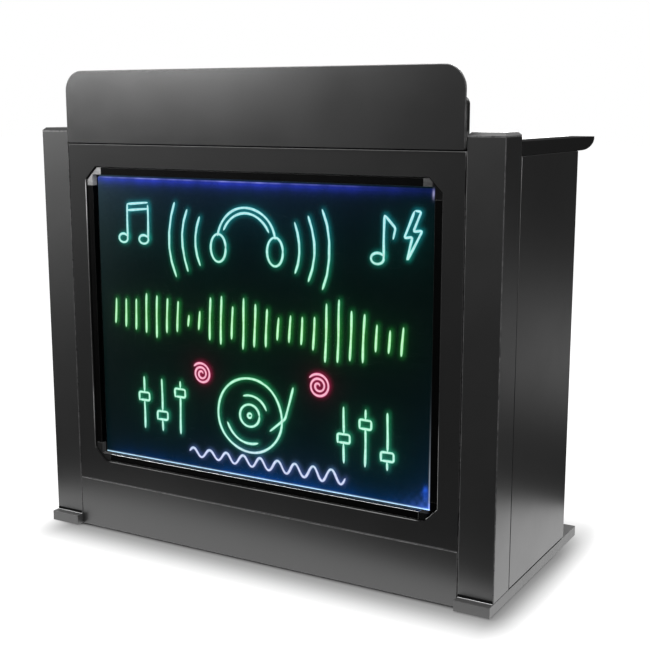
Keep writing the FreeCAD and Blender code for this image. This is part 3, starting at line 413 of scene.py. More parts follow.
FINISHES = {
    "lacquer": lacquer("satin_lacquer", 0.006, 0.009, 0.32, 0.36, 1.75),
    "worktop_laminate": laminate("pearl_laminate"),
    "timber": timber("stained_timber"),
    "rail_aluminium": brushed("black_anodised", 0.004, 0.009, 0.30, 0.40, 1.0, (700.0, 700.0, 700.0)),
    "corner_plastic": corner_silver("silver_corner"),
    "acrylic": clear_sheet("clear_acrylic"),
    "backing": backing("black_backing"),
    "strip": moulded("strip_board", 0.55, 0.68, 0.4, 0.55, 500.0, 0.1),
    "light": light_chip("light_chip", (0.35, 0.55, 1.0), 3.0),
    "zinc_steel": brushed("zinc_steel", 0.42, 0.62, 0.24, 0.40, 1.0, (260.0, 260.0, 260.0)),
    "hinge_steel": brushed("black_steel", 0.03, 0.06, 0.32, 0.46, 0.85, (60.0, 60.0, 900.0)),
    "magnet": brushed("nickel_magnet", 0.5, 0.66, 0.18, 0.3, 1.0, (300.0, 300.0, 300.0)),
    "glide": moulded("glide_plastic", 0.02, 0.035, 0.5, 0.65),
    "control_plastic": moulded("control_plastic", 0.016, 0.026, 0.42, 0.56, 1100.0, 0.3),
    "circuit": moulded("circuit_laminate", (0.01, 0.10, 0.04), (0.02, 0.16, 0.06), 0.3, 0.42, 300.0, 0.1),
    "button_plastic": moulded("button_plastic", 0.42, 0.52, 0.35, 0.45),
    "socket_plastic": moulded("socket_plastic", 0.012, 0.02, 0.35, 0.5),
    "eye_plastic": moulded("eye_plastic", (0.05, 0.006, 0.010), (0.09, 0.01, 0.016), 0.12, 0.2, 500.0, 0.05),
    "lead_rubber": moulded("lead_rubber", 0.014, 0.022, 0.5, 0.62),
}
EDGES = {
    "lacquer": edge_wear_and_highlight("lacquer_arris", (0.035, 0.035, 0.036), (0.13, 0.13, 0.13)),
    "worktop_laminate": FINISHES["worktop_laminate"],
    "timber": edge_wear_and_highlight("timber_arris", (0.05, 0.04, 0.032), (0.16, 0.12, 0.09)),
    "rail_aluminium": brushed("anodised_arris", 0.03, 0.06, 0.28, 0.38, 1.0, (300.0, 300.0, 300.0)),
    "corner_plastic": corner_silver("corner_arris"),
}
EDGE_PAINTS = {
    # The bottom rail's arrises: rubbed bare, and pale as a painted highlight.
    "board_rail_bottom": brushed("rubbed_arris", 0.75, 0.92, 0.22, 0.34, 1.0, (300.0, 300.0, 300.0)),
    "side_panel": panel_edge("panel_arris"),
    "base_bar": FINISHES["lacquer"],
    "front_frame": window_edge("window_arris"),
    "shield": edge_wear_and_highlight("shield_arris", 0.035, 0.13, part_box("shield")[0].z + 4 * MM),
}
PAINTS = {
    "shield": lacquer("shield_lacquer", 0.008, 0.012, 0.22, 0.25, 1.95),
    "front_frame": lacquer("frame_lacquer", 0.010, 0.013, 0.34, 0.38, 1.37),
    "column_cap": lacquer("cap_lacquer", 0.006, 0.009, 0.36, 0.42, 1.45),
    "base_bar": bar_lacquer("bar_lacquer"),
}
ARRISES = {
    "lacquer": 2.0 * MM,
    "worktop_laminate": 1.2 * MM,
    "timber": 1.6 * MM,
    "rail_aluminium": 0.6 * MM,
    "corner_plastic": 0.4 * MM,
}
FINE_ARRISES = {"side_panel": 0.6 * MM, "front_frame": 1.5 * MM, "kick_panel": 1.5 * MM}
HOLE_FACET = 0.8 * MM
WELD = 0.002 * MM
FLAT = math.radians(0.2)
SHARP = math.radians(25.0)


def slot_of(node):
    return node.data.materials[0].name.split(".")[0]


def by_name(node, table, usual):
    """The entry whose key starts the node's name, or the usual one."""
    return next((entry for start, entry in table.items() if node.name.startswith(start)), usual)


def flat_regions(bm):
    """The faces in groups that lie in one plane and touch."""
    seen = set()
    for seed in bm.faces:
        if seed in seen:
            continue
        seen.add(seed)
        group, front = [seed], [seed]
        while front:
            face = front.pop()
            for edge in face.edges:
                for other in edge.link_faces:
                    if other not in seen and face.normal.angle(other.normal, 1.0) < FLAT:
                        seen.add(other)
                        group.append(other)
                        front.append(other)
        yield group


def rims(group):
    """The closed loops of points round a group of faces."""
    inside = set(group)
    ahead = {}
    for face in group:
        for loop in face.loops:
            if not all(f in inside for f in loop.edge.link_faces):
                ahead.setdefault(loop.vert, []).append(loop.link_loop_next.vert)
    while ahead:
        start = next(iter(ahead))
        rim, here = [], start
        while here in ahead:
            rim.append(here)
            after = ahead[here].pop()
            if not ahead[here]:
                del ahead[here]
            here = after
        yield rim


def shortest_side(rim):
    return min((a.co - b.co).length for a, b in zip(rim, rim[1:] + rim[:1]))


def plain_form(mesh):
    """The node's form without the small round holes, which its screws and pins fill."""
    source, form = bmesh.new(), bmesh.new()
    source.from_mesh(mesh)
    bmesh.ops.remove_doubles(source, verts=source.verts, dist=WELD)
    source.normal_update()
    copies = {}
    for group in flat_regions(source):
        loops = list(rims(group))
        kept = [rim for rim in loops if shortest_side(rim) > HOLE_FACET]
        points = [v for rim in kept for v in rim]
        if len(kept) == len(loops):
            outlines = [list(face.verts) for face in group]
        elif len(kept) == 1:
            outlines = kept
        elif kept:
            corners = tessellate_polygon([[v.co for v in rim] for rim in kept])
            outlines = [[points[i] for i in corner] for corner in corners]
        else:
            outlines = []
        for outline in outlines:
            for v in outline:
                if v not in copies:
                    copies[v] = form.verts.new(v.co)
            form.faces.new([copies[v] for v in outline])
    source.free()
    bmesh.ops.recalc_face_normals(form, faces=form.faces)
    bmesh.ops.dissolve_limit(form, angle_limit=FLAT, verts=form.verts, edges=form.edges)
    return form


def dressed(node):
    """The node's own form with its holes closed and its arrises rounded, worn along them."""
    slot = slot_of(node)
    bm = plain_form(node.data)
    sharp = [e for e in bm.edges if e.is_manifold and e.calc_face_angle() > SHARP]
    bmesh.ops.bevel(
        bm, geom=sharp, offset=by_name(node, FINE_ARRISES, ARRISES[slot]), offset_type="OFFSET",
        segments=3, profile=0.5, affect="EDGES", clamp_overlap=True, material=1,
    )
    mesh = bpy.data.meshes.new(node.name + "_dressed")
    bm.to_mesh(mesh)
    bm.free()
    mesh.polygons.foreach_set("use_smooth", [True] * len(mesh.polygons))
    piece = bpy.data.objects.new(node.name + "_dressed", mesh)
    bpy.context.scene.collection.objects.link(piece)
    even = piece.modifiers.new("even_shading", "WEIGHTED_NORMAL")
    even.weight = 100
    mesh.materials.append(by_name(node, PAINTS, FINISHES[slot]))
    mesh.materials.append(by_name(node, EDGE_PAINTS, EDGES[slot]))
    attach(piece, node["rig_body"])
    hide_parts(node.name)


for node in NODES.values():
    slot = slot_of(node)
    if slot in ARRISES:
        dressed(node)
    node.data.materials[0] = FINISHES[slot]


INK_HALF_WIDTH = 2.9 * MM
INK_HALF_HEIGHT = 0.4 * MM
INK_STEP = 4.0 * MM
draws = random.Random(7)


def arc(middle, radius, start, stop, squash=1.0):
    """Points of an arc, in board millimetres, angles in degrees."""
    count = max(4, int(abs(stop - start) / 9) + 1)
    turns = [math.radians(start + (stop - start) * i / (count - 1)) for i in range(count)]
    return [(middle[0] + radius * math.cos(t), middle[1] + squash * radius * math.sin(t)) for t in turns]


def headphones(x, z, size):
    """A band over two ear cups."""
    cup = size * 0.26
    lines = [arc((x, z), size, 8, 172), arc((x, z), size * 0.84, 22, 158)]
    for side in (-1, 1):
        middle = (x + side * size * 0.98, z - size * 0.22)
        lines.append(arc(middle, cup, 0, 368, 1.6))
    return lines


def note(x, z, size, beamed):
    """A music note, or a pair under one beam."""
    heads = (0.0, size * 0.75) if beamed else (0.0,)
    lines = []
    for shift in heads:
        head = arc((x + shift, z), size * 0.17, 20, 390, 0.75)
        stem = [(x + shift + size * 0.16, z), (x + shift + size * 0.17, z + size)]
        lines += [head, stem]
    if beamed:
        lines.append([(x + size * 0.17, z + size), (x + size * 0.92, z + size * 1.06)])
        lines.append([(x + size * 0.18, z + size * 0.82), (x + size * 0.91, z + size * 0.88)])
    else:
        flag = [(0.17, 1.0), (0.46, 0.72), (0.40, 0.46)]
        lines.append([(x + size * a, z + size * b) for a, b in flag])
    return lines


def bolt(x, z, size):
    """A lightning bolt."""
    outline = [
        (0.1, 1.0), (-0.32, 0.0), (0.02, 0.06), (-0.18, -0.8),
        (0.40, 0.30), (0.06, 0.26), (0.36, 0.98), (0.1, 1.0),
    ]
    return [[(x + a * size, z + b * size) for a, b in outline]]


def spiral(x, z, size, turns):
    """A line that winds outwards."""
    steps = int(turns * 22)
    points = []
    for i in range(steps + 1):
        angle = math.tau * turns * i / steps
        reach = size * (0.14 + 0.86 * i / steps)
        points.append((x + reach * math.cos(angle), z + reach * math.sin(angle)))
    return [points]


def record(x, z, size):
    """A disc with grooves and a pick-up arm."""
    arm = [(1.34, 0.92), (1.10, 0.06), (0.62, -0.34)]
    return [
        arc((x, z), size, 60, 424),
        arc((x, z), size * 0.30, 0, 364),
        arc((x, z), size * 0.76, 200, 290),
        arc((x, z), size * 0.55, 20, 110),
        arc((x, z), size * 0.07, 0, 370),
        [(x + size * a, z + size * b) for a, b in arm],
    ]


def slider(x, z, length, share):
    """A fader track and its knob."""
    middle = z + length * share
    knob = [(-15, -10), (15, -10), (15, 10), (-15, 10), (-15, -12)]
    return [
        [(x, z), (x, middle - 11)],
        [(x, middle + 11), (x, z + length)],
        [(x + a, middle + b) for a, b in knob],
    ]


def level_bars(left, right, z, pitch, tallest):
    """Upright strokes of a sound wave."""
    lines = []
    count = int((right - left) / pitch)
    for i in range(count + 1):
        share = i / count
        swell = 0.30 + 0.70 * abs(math.sin(math.pi * (share * 3.0 + 0.15)))
        reach = tallest * swell * draws.uniform(0.55, 1.0)
        x = left + pitch * i
        foot = (x - 2, z - reach * draws.uniform(0.35, 0.5))
        head = (x + 2, z + reach * draws.uniform(0.5, 0.65))
        lines.append([foot, head])
    return lines


def ripple(left, right, z, height, waves):
    """A wavy line that grows from left to right."""
    steps = waves * 12
    points = []
    for i in range(steps + 1):
        rise = height * math.sin(math.tau * waves * i / steps) * (0.6 + 0.4 * i / steps)
        points.append((left + (right - left) * i / steps, z + rise))
    return [points]


def sound_arcs(x, z, side, radii):
    """Short arcs that spread to the right (side 1) or the left (side -1)."""
    middle_turn = 0 if side > 0 else 180
    return [arc((x, z), radius, middle_turn - 24, middle_turn + 24) for radius in radii]


DRAWING = {
    "marker_tone": (
        headphones(-20, 205, 78)
        + sound_arcs(-20, 200, 1, (140, 178, 216))
        + sound_arcs(-20, 200, -1, (140, 178, 216))
        + note(-372, 196, 82, True)
        + note(312, 190, 92, False)
        + bolt(392, 236, 58)
        + level_bars(-402, 402, 10, 31, 150)
        + record(-16, -196, 88)
        + slider(-322, -268, 130, 0.62)
        + slider(-268, -268, 130, 0.30)
        + slider(-214, -268, 130, 0.78)
        + slider(232, -272, 130, 0.44)
        + slider(286, -272, 130, 0.74)
        + slider(340, -272, 130, 0.24)
        + ripple(-190, 236, -306, 17, 9)
    ),
    "marker_pink": spiral(-150, -112, 27, 2.4) + spiral(168, -104, 29, 2.4),
}


# Ink by height on the board, in millimetres from its middle:
# violet-blue at the foot, mint, green in the middle, cyan above.
TONES = [
    (-353, (0.42, 0.50, 1.0)), (-300, (0.42, 0.55, 1.0)),
    (-262, (0.20, 0.95, 0.70)), (-120, (0.18, 1.0, 0.50)),
    (20, (0.22, 1.0, 0.28)), (120, (0.14, 0.95, 0.52)),
    (230, (0.12, 0.85, 0.85)), (353, (0.12, 0.80, 0.95)),
]
TONE_HEIGHTS = [height for height, _ in TONES]
TONE_CHANNELS = list(zip(*(colour for _, colour in TONES)))
PINK = np.array((1.0, 0.10, 0.34))
TREMOR = 0.8 * MM
TREMOR_LENGTH = 0.021
INK_RING = 8
INK_ENDS = np.array([0.30, 0.80, 0.95])
INK_CORE = 0.62


def tone_colour(height):
    return np.array([np.interp(height, TONE_HEIGHTS, channel) for channel in TONE_CHANNELS])


def resampled(points):
    """A hand-drawn line: rounded a little, evenly spaced, with a slight tremor."""
    line = np.array(points, float) * MM
    lengths = np.concatenate([[0.0], np.cumsum(np.linalg.norm(np.diff(line, axis=0), axis=1))])
    count = max(3, int(lengths[-1] / INK_STEP) + 1)
    along = np.linspace(0.0, lengths[-1], count)
    even = np.stack([np.interp(along, lengths, line[:, c]) for c in range(2)], axis=1)
    smooth = even.copy()
    smooth[1:-1] = 0.25 * even[:-2] + 0.5 * even[1:-1] + 0.25 * even[2:]
    phase = draws.uniform(0.0, math.tau)
    tremor = TREMOR * np.sin(along / TREMOR_LENGTH + phase)[:, None]
    return smooth + tremor * np.array([[0.7, 0.5]])


def ink_mesh(name, lines, colour_of):
    """Flat beads of ink on the writing sheet, each a closed tube with drawn-out ends."""
    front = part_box("writing_sheet")[0].y
    ring = INK_RING
    vertices, faces, colours, samples = [], [], [], []
    for line in lines:
        path = resampled(line)
        ahead = np.gradient(path, axis=0)
        ahead /= np.maximum(np.linalg.norm(ahead, axis=1), 1e-9)[:, None]
        across = np.stack([-ahead[:, 1], ahead[:, 0]], axis=1)
        steps = len(path)
        from_end = np.minimum(np.arange(steps), np.arange(steps)[::-1])
        last = len(INK_ENDS) - 1
        swell = np.where(from_end > last, 1.0, INK_ENDS[np.minimum(from_end, last)])
        swell = swell * (1.0 + 0.10 * np.sin(np.arange(steps) * 0.37))
        first = len(vertices)
        for i in range(steps):
            ink = colour_of(path[i, 1] / MM)
            samples.append((path[i], ink))
            for k in range(ring):
                turn = math.tau * k / ring
                aside = INK_HALF_WIDTH * swell[i] * math.cos(turn)
                proud = INK_HALF_HEIGHT * math.sin(turn)
                spot = path[i] + across[i] * aside
                vertices.append((
                    BOARD_MIDDLE[0] + spot[0],
                    front - 0.75 * INK_HALF_HEIGHT - proud,
                    BOARD_MIDDLE[1] + spot[1],
                ))
                core = max(0.0, math.sin(turn)) ** 2
                colours.append(ink + (1.0 - ink) * INK_CORE * core)
        for i in range(steps - 1):
            a, b = first + i * ring, first + (i + 1) * ring
            for k in range(ring):
                n = (k + 1) % ring
                faces.append((a + k, a + n, b + n, b + k))
        faces.append(tuple(first + k for k in reversed(range(ring))))
        faces.append(tuple(first + (steps - 1) * ring + k for k in range(ring)))
    return painted_piece(name, vertices, faces, colours), samples


def painted_piece(name, vertices, faces, colours):
    """A mesh piece with its light painted on its points."""
    mesh = bpy.data.meshes.new(name)
    mesh.from_pydata([tuple(v) for v in vertices], [], faces)
    mesh.validate()
    layer = mesh.color_attributes.new("ink", "FLOAT_COLOR", "POINT")
    flat = np.ones((len(vertices), 4), np.float32)
    flat[:, :3] = np.array(colours, np.float32)
    layer.data.foreach_set("color", flat.ravel())
    mesh.polygons.foreach_set("use_smooth", [True] * len(mesh.polygons))
    piece = bpy.data.objects.new(name, mesh)
    bpy.context.scene.collection.objects.link(piece)
    return piece


INK = glowing("lit_ink", 1.0)
samples = []
for name, lines in DRAWING.items():
    colour_of = tone_colour if name == "marker_tone" else (lambda height: PINK)
    piece, spots = ink_mesh(name, lines, colour_of)
    piece.data.materials.append(INK)
    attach(piece, "booth")
    samples += spots


FILM_PITCH = 6 * MM
FILM_MARGIN = 19 * MM
FILM_NEAR_EDGE = [0.8 * MM * i for i in range(16)] + [13.5 * MM, 16.0 * MM]
FILM_GLOW = np.array((0.0010, 0.0050, 0.0040))
HALO_NEAR, HALO_NEAR_REACH = 0.050, 7 * MM
HALO_FAR, HALO_FAR_REACH = 0.0007, 20 * MM
HALO_DEEPEN = 1.6
HALO_BLOCK = 1500


def edge_lines(low, high):
    """Grid lines across the board, closer together near its edges."""
    inner = np.arange(low + FILM_MARGIN, high - FILM_MARGIN, FILM_PITCH)
    return np.concatenate([
        [low + n for n in FILM_NEAR_EDGE], inner, [high - n for n in reversed(FILM_NEAR_EDGE)],
    ])


def falloff(distance, reach):
    """Light that fades from an edge, over a reach in millimetres."""
    return np.exp(-distance / (reach * MM))


def band(distance, middle, reach):
    """A soft line along an edge, at a distance in millimetres."""
    return np.exp(-((distance / MM - middle) / reach) ** 2)


def edge_light(x, z):
    """Light of the strips at the sheet's edges, by place on the board in metres."""
    left, right = x - VIEW_LOW[0], VIEW_HIGH[0] - x
    foot, head = z - VIEW_LOW[1], VIEW_HIGH[1] - z
    share = left / (left + right)
    patch = 0.82 + 0.18 * np.sin(x * 41.0 + 1.3) * np.sin(x * 17.0 + 0.4) + 0.10 * np.sin(x * 131.0)
    lean = np.clip(2.1 - 1.95 * share, 0.22, 1.0)
    clear = np.clip((head / MM - 4.4) / 1.2, 0.0, 1.0)
    shelf = clear * falloff(np.maximum(head - 12.5 * MM, 0.0), 7.0)
    swell = 0.42 + 0.9 * np.exp(-((share - 0.56) / 0.18) ** 2)
    blotch = 0.8 + 0.5 * np.sin(x * 310.0) * np.sin(z * 260.0 + 0.7)
    off_left = np.clip(left / (60 * MM), 0.0, 1.0)
    layers = [
        # Upper edge: white line, blue shelf under it, wide spill, haze in the left corner.
        (clear * band(head, 6.6, 1.5) * (lean * patch) ** 3, (0.20, 0.21, 0.26)),
        (shelf * lean * patch, (0.016, 0.025, 0.42)),
        (falloff(head, 75) * lean, (0.0070, 0.0150, 0.042)),
        (falloff(left, 110) * falloff(head, 210), (0.026, 0.043, 0.043)),
        # Lower edge: white line, blue glow on it, wide spill.
        (band(foot, 0.0, 2.2) * (0.75 + 0.25 * patch), (0.90, 1.36, 1.70)),
        (falloff(foot, 13) * swell * patch * off_left, (0.001, 0.045, 0.26)),
        (falloff(foot, 80) * (0.6 + 0.6 * share), (0.0003, 0.008, 0.021)),
        # Right edge: blue patches in the lower corner, spots, and the pale line of the rail.
        (falloff(right, 26) * falloff(foot, 14) * blotch, (0.17, 0.38, 1.80)),
        (falloff(right, 40) * falloff(foot, 90), (0.001, 0.010, 0.040)),
        (band(right, 19.0, 6.0) * band(foot, 38.0, 12.0) * blotch, (0.02, 0.11, 0.80)),
        (band(right, 11.5, 2.2) * band(head, 16.0, 8.0), (0.40, 0.39, 0.62)),
        (band(right, 10.0, 1.3) * np.exp(-((foot / MM / 130) ** 2)), (0.40, 0.44, 0.50)),
    ]
    return sum(weight[:, None] * np.array(colour) for weight, colour in layers)


def halo(x, z, samples):
    """Soft light round the ink, spread by the sheet."""
    spots = np.array([s[0] for s in samples]) + np.array(BOARD_MIDDLE)
    inks = np.array([s[1] for s in samples])
    glow = np.zeros((len(x), 3))
    for start in range(0, len(x), HALO_BLOCK):
        block = slice(start, start + HALO_BLOCK)
        apart = np.hypot(x[block, None] - spots[None, :, 0], z[block, None] - spots[None, :, 1])
        close = HALO_NEAR * np.exp(-((apart / HALO_NEAR_REACH) ** 2))
        weight = close + HALO_FAR * np.exp(-apart / HALO_FAR_REACH)
        glow[block] = weight @ (inks ** HALO_DEEPEN)
    return glow


def glow_film(samples):
    """Thin film behind the writing sheet that carries its spread light."""
    columns = edge_lines(VIEW_LOW[0], VIEW_HIGH[0])
    rows = edge_lines(VIEW_LOW[1], VIEW_HIGH[1])
    x, z = (g.ravel() for g in np.meshgrid(columns, rows))
    colours = FILM_GLOW + edge_light(x, z) + halo(x, z, samples)
    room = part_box("writing_sheet")[1].y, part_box("backing_sheet")[0].y
    near, far = room[0] * 0.85 + room[1] * 0.15, room[0] * 0.15 + room[1] * 0.85
    wide, tall = len(columns), len(rows)
    vertices = [(a, near, b) for a, b in zip(x, z)] + [(a, far, b) for a, b in zip(x, z)]
    back = wide * tall
    faces = []
    for r in range(tall - 1):
        for c in range(wide - 1):
            p = r * wide + c
            faces.append((p, p + 1, p + wide + 1, p + wide))
    rim = (
        list(range(wide))
        + [r * wide + wide - 1 for r in range(1, tall)]
        + [(tall - 1) * wide + c for c in range(wide - 2, -1, -1)]
        + [r * wide for r in range(tall - 2, 0, -1)]
    )
    for a, b in zip(rim, rim[1:] + rim[:1]):
        faces.append((b, a, back + a, back + b))
    faces.append(tuple(back + p for p in reversed(rim)))
    used = sorted({v for f in faces for v in f})
    renumber = {v: i for i, v in enumerate(used)}
    faces = [tuple(renumber[v] for v in f) for f in faces]
    colours = np.concatenate([colours, np.zeros_like(colours)])
    return painted_piece("glow_film", [vertices[v] for v in used], faces, colours[used])


def strip(name, outline, start, stop):
    """A bar of the given (y, z) outline along X, with drawn-in ends."""
    mid_y, mid_z = (sum(p[i] for p in outline) / len(outline) for i in (0, 1))
    stations = [(start, 0.6), (start + 0.5 * MM, 1.0), (stop - 0.5 * MM, 1.0), (stop, 0.6)]
    count = len(outline)
    vertices, faces = [], []
    for x, share in stations:
        vertices += [(x, mid_y + (y - mid_y) * share, mid_z + (z - mid_z) * share) for y, z in outline]
    for ring in range(len(stations) - 1):
        here, ahead = ring * count, (ring + 1) * count
        for i in range(count):
            n = (i + 1) % count
            faces.append((here + i, here + n, ahead + n, ahead + i))
    faces.append(tuple(reversed(range(count))))
    faces.append(tuple(range((len(stations) - 1) * count, len(stations) * count)))
    mesh = bpy.data.meshes.new(name)
    mesh.from_pydata(vertices, [], faces)
    form = bmesh.new()
    form.from_mesh(mesh)
    bmesh.ops.recalc_face_normals(form, faces=form.faces)
    form.to_mesh(mesh)
    form.free()
    piece = bpy.data.objects.new(name, mesh)
    bpy.context.scene.collection.objects.link(piece)
    return piece


# Outlines of the foot trim in millimetres: from the column's front face, and up from its foot.
BEAD = [(0.5, 0.0), (-1.9, 0.0), (-2.1, 0.3), (-1.9, 0.8), (-1.3, 1.2), (0.5, 1.3)]
# The black strip stands in as painted shade at the column's foot.
SHADE_STRIP = [(0.5, 1.3), (-0.9, 1.3), (-1.2, 1.7), (-1.2, 6.6), (-0.9, 7.0), (0.5, 7.2)]
TRIM_INSET = 1.5 * MM


def foot_trim():
    """A black strip of painted shade along the foot of each column, and a dull metal bead where the column
    stands on its floor bar.
    """
    dull_bead = brushed("dull_bead", 0.30, 0.42, 0.34, 0.46, 1.0, (260.0, 260.0, 260.0))
    black_foam = backing("black_foam", 0.0)
    for side in ("left", "right"):
        low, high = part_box("column_" + side)
        for name, profile, slot, finish in (
            ("foot_bead_", BEAD, "zinc_steel", dull_bead), ("foot_seal_", SHADE_STRIP, "lead_rubber", black_foam)
        ):
            outline = [(low.y + y * MM, low.z + z * MM) for y, z in profile]
            piece = strip(name + side, outline, low.x + TRIM_INSET, high.x - TRIM_INSET)
            piece.data.materials.append(finish)
            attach(piece, "booth")


foot_trim()
film = glow_film(samples)
film.data.materials.append(glowing("spread_light", 1.0))
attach(film, "booth")


FLOOR_SIZE = 60.0
FLOOR_SHADE = [
    (0.00, 0.00), (0.04, 0.10), (0.08, 0.18), (0.20, 0.23), (0.36, 0.36),
    (0.50, 0.50), (0.64, 0.65), (0.80, 0.79), (1.00, 1.00),
]
INDOOR_SHADE = [(0.00, 0.02), (0.12, 0.06), (0.40, 0.24), (0.70, 0.66), (1.00, 1.00)]
MIRRORED_FLOOR = 1.42
# Where the shade on the floor starts to fade and where it ends, in metres on each side.
SHADE_RIGHT, SHADE_LEFT = (0.594, 0.675), (-0.53, -0.63)
SHADE_FRONT, SHADE_REAR = (-0.273, -0.413), (0.10, 0.41)
INDOORS_ASIDE, INDOORS_FRONT, INDOORS_REAR = 0.56, -0.25, 0.60


def studio_floor():
    """White sweep that stays white in the picture, with the object's shade painted by place."""
    bpy.ops.mesh.primitive_plane_add(size=FLOOR_SIZE, location=(0.0, 0.0, 0.0))
    floor = bpy.context.object
    floor.name = "studio_floor"
    shader = Shader("white_sweep", Base_Color=(0.15, 0.15, 0.15, 1.0), Specular_IOR_Level=0.0, Roughness=1.0)
    shader.surface.inputs["Emission Color"].default_value = (1.0, 1.0, 1.0, 1.0)
    place = shader.axes()

    def beyond(axis, near, far):
        """How far a point lies from a near line towards a far one."""
        limits = {"From Min": near, "From Max": far}
        return shader.add("ShaderNodeMapRange", {"Value": place[axis], **limits}).outputs[0]

    aside = shader.calc("ADD", beyond(0, *SHADE_RIGHT), beyond(0, *SHADE_LEFT))
    ahead = shader.calc("ADD", beyond(1, *SHADE_FRONT), beyond(1, *SHADE_REAR))
    spread = shader.add("ShaderNodeCombineXYZ", {0: aside, 1: ahead}).outputs[0]
    apart = shader.add("ShaderNodeVectorMath", {0: spread}, operation="LENGTH").outputs["Value"]
    # Painted light on the floor inside the booth, rising towards its open rear.
    between = shader.calc("LESS_THAN", shader.calc("ABSOLUTE", place[0]), INDOORS_ASIDE)
    inside = shader.calc("MULTIPLY", between, shader.calc("GREATER_THAN", place[1], INDOORS_FRONT))
    indoors = shader.ramp(beyond(1, INDOORS_FRONT, INDOORS_REAR), INDOOR_SHADE)
    painted_indoor_light = shader.calc("MULTIPLY", inside, indoors)
    lift = shader.calc("MAXIMUM", shader.ramp(apart, FLOOR_SHADE), painted_indoor_light)
    outside = shader.calc("SUBTRACT", 1.0, inside)
    mirror = shader.calc("MULTIPLY", shader.calc("MAXIMUM", outside, painted_indoor_light), MIRRORED_FLOOR)
    path = shader.add("ShaderNodeLightPath").outputs
    mirrored = shader.calc("ADD", path["Is Glossy Ray"], path["Is Transmission Ray"], clamp=True)
    seen = shader.calc("MULTIPLY", path["Is Camera Ray"], lift)
    shine = shader.calc("ADD", seen, shader.calc("MULTIPLY", mirrored, mirror))
    shader.feed(Emission_Strength=shine)
    floor.data.materials.append(shader.material)


WORLD_LIGHT, WORLD_SEEN = 0.35, 1.0


def studio_world():
    """White to the eye and in reflections, softer as a source of light."""
    world = bpy.data.worlds.new("studio")
    bpy.context.scene.world = world
    world.use_nodes = True
    tree = world.node_tree
    tree.nodes.clear()
    add = tree.nodes.new
    out, sky, path, seen, seen_all, level = (
        add("ShaderNodeOutputWorld"), add("ShaderNodeBackground"), add("ShaderNodeLightPath"),
        add("ShaderNodeMath"), add("ShaderNodeMath"), add("ShaderNodeMapRange"),
    )
    seen.operation = "ADD"
    seen_all.operation = "ADD"
    seen_all.use_clamp = True
    level.inputs["To Min"].default_value = WORLD_LIGHT
    level.inputs["To Max"].default_value = WORLD_SEEN
    link = tree.links.new
    link(path.outputs["Is Camera Ray"], seen.inputs[0])
    link(path.outputs["Is Glossy Ray"], seen.inputs[1])
    link(seen.outputs[0], seen_all.inputs[0])
    link(path.outputs["Is Transmission Ray"], seen_all.inputs[1])
    link(seen_all.outputs[0], level.inputs["Value"])
    link(level.outputs[0], sky.inputs["Strength"])
    link(sky.outputs[0], out.inputs["Surface"])
    sky.inputs["Color"].default_value = (1.0, 1.0, 1.0, 1.0)


# The surround's section as (out, up) in metres, from the white patch round the booth to the wall's top.
SURROUND_TOP = 2.0
SURROUND = [(0.0, 0.004), (0.35, 0.004), (3.6, 0.004), (3.9, 0.15), (4.0, 0.6), (4.0, SURROUND_TOP)]
SURROUND_TURNS = 64
PATCH_HALF_WIDTH, PATCH_HALF_DEPTH = 0.92, 0.50
TALL_WALL, TALL_WALL_UNTIL = 0.9, 0.19
WALL_GAP = (0.25, 0.35)
# Cloth level by depth, as a share of this many metres.
CLOTH_DEPTH = 5.0
CLOTH = [(0.22, 0.06), (0.41, 0.42), (0.70, 0.46), (0.88, 0.06)]


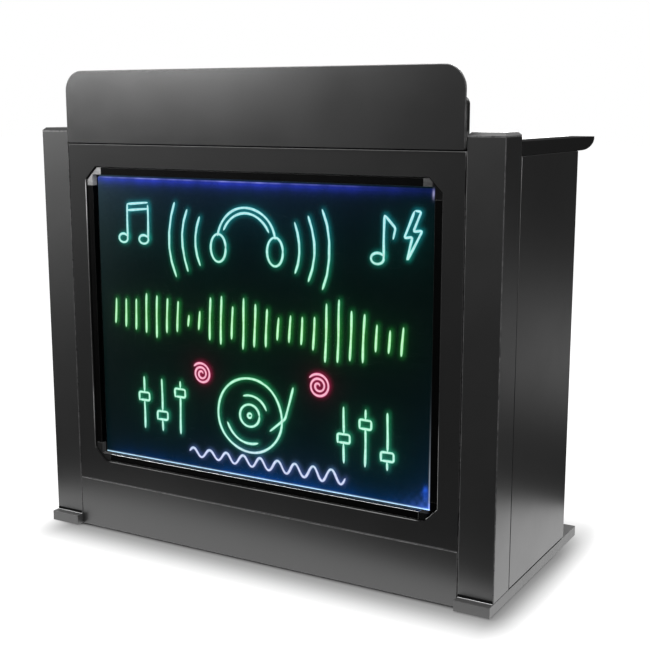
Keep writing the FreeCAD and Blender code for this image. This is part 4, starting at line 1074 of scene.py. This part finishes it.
def dark_surround():
    """Dark studio beyond the white sweep, which only reflections see."""
    turns = SURROUND_TURNS
    vertices, faces = [], []
    for out, up in SURROUND:
        for i in range(turns):
            angle = math.tau * i / turns
            corner = (abs(math.cos(angle)) ** 4 + abs(math.sin(angle)) ** 4) ** -0.25
            slant = 0.04 + 0.10 * math.cos(angle) if out == 0.0 and math.sin(angle) < 0.0 else 0.0
            rise = TALL_WALL if up == SURROUND_TOP and i / turns < TALL_WALL_UNTIL else 0.0
            vertices.append((
                (PATCH_HALF_WIDTH + out) * corner * math.cos(angle),
                (PATCH_HALF_DEPTH + out) * corner * math.sin(angle) + slant,
                up + rise,
            ))
    wall = len(SURROUND) - 2
    for ring in range(len(SURROUND) - 1):
        here, ahead = ring * turns, (ring + 1) * turns
        for i in range(turns):
            if ring == wall and WALL_GAP[0] < i / turns < WALL_GAP[1]:
                continue
            n = (i + 1) % turns
            faces.append((here + i, here + n, ahead + n, ahead + i))
    mesh = bpy.data.meshes.new("dark_surround")
    mesh.from_pydata(vertices, [], faces)
    surround = bpy.data.objects.new("dark_surround", mesh)
    bpy.context.scene.collection.objects.link(surround)
    shader = Shader("dark_cloth", Specular_IOR_Level=0.0, Roughness=1.0)
    limits = {"From Min": 0.0, "From Max": CLOTH_DEPTH}
    share = shader.add("ShaderNodeMapRange", {"Value": shader.axes()[1], **limits}).outputs[0]
    shader.feed(Base_Color=shader.ramp(share, CLOTH))
    mesh.materials.append(shader.material)
    for ray in ("camera", "diffuse", "shadow"):
        setattr(surround, "visible_" + ray, False)


def aim(thing, target):
    """Turns a lamp or camera from where it stands to a point."""
    toward = np.array(target) - np.array(thing.location)
    flat = math.hypot(toward[0], toward[1])
    thing.rotation_euler = (math.atan2(flat, -toward[2]), 0.0, math.atan2(-toward[0], toward[1]))


def softbox(name, place, target, width, height, watts):
    """A rectangular lamp at a place, turned to a target."""
    lamp = bpy.data.lights.new(name, "AREA")
    lamp.shape = "RECTANGLE"
    lamp.size = width
    lamp.size_y = height
    lamp.energy = watts
    holder = bpy.data.objects.new(name, lamp)
    bpy.context.scene.collection.objects.link(holder)
    holder.location = place
    aim(holder, target)


# Each lamp's place, target, width, height and watts.
SOFTBOXES = {
    "front_left_box": ((-3.05, -3.3, 2.28), (0.0, 0.0, 0.9), 2.0, 1.6, 112.0),
    "left_strip": ((-3.6, -2.6, 0.95), (-0.6, -0.27, 0.6), 0.3, 1.9, 10.0),
    "top_box": ((0.0, -0.6, 3.2), (0.0, 0.0, 0.0), 2.4, 2.4, 90.0),
    "right_strip": ((3.4, -1.5, 1.6), (0.2, -0.27, 0.9), 0.5, 1.6, 25.0),
    "rear_fill": ((-0.8, 3.2, 2.0), (0.0, 0.0, 0.5), 1.6, 1.2, 80.0),
}
# The camera as fitted to corners of the object in the photograph.
SENSOR_WIDTH, LENS = 36.0, 64.57
CAMERA_PLACE = (1.43393, -2.42563, 1.04566)
CAMERA_TILT, CAMERA_TURN = 79.4475, 29.915

studio_floor()
studio_world()
dark_surround()
for name, settings in SOFTBOXES.items():
    softbox(name, *settings)

camera = bpy.data.objects.new("camera", bpy.data.cameras.new("camera"))
camera.data.sensor_width = SENSOR_WIDTH
camera.data.lens = LENS
camera.location = CAMERA_PLACE
camera.rotation_euler = (math.radians(CAMERA_TILT), 0.0, math.radians(CAMERA_TURN))
bpy.context.scene.collection.objects.link(camera)
bpy.context.scene.camera = camera
bpy.context.scene.view_settings.view_transform = "Standard"
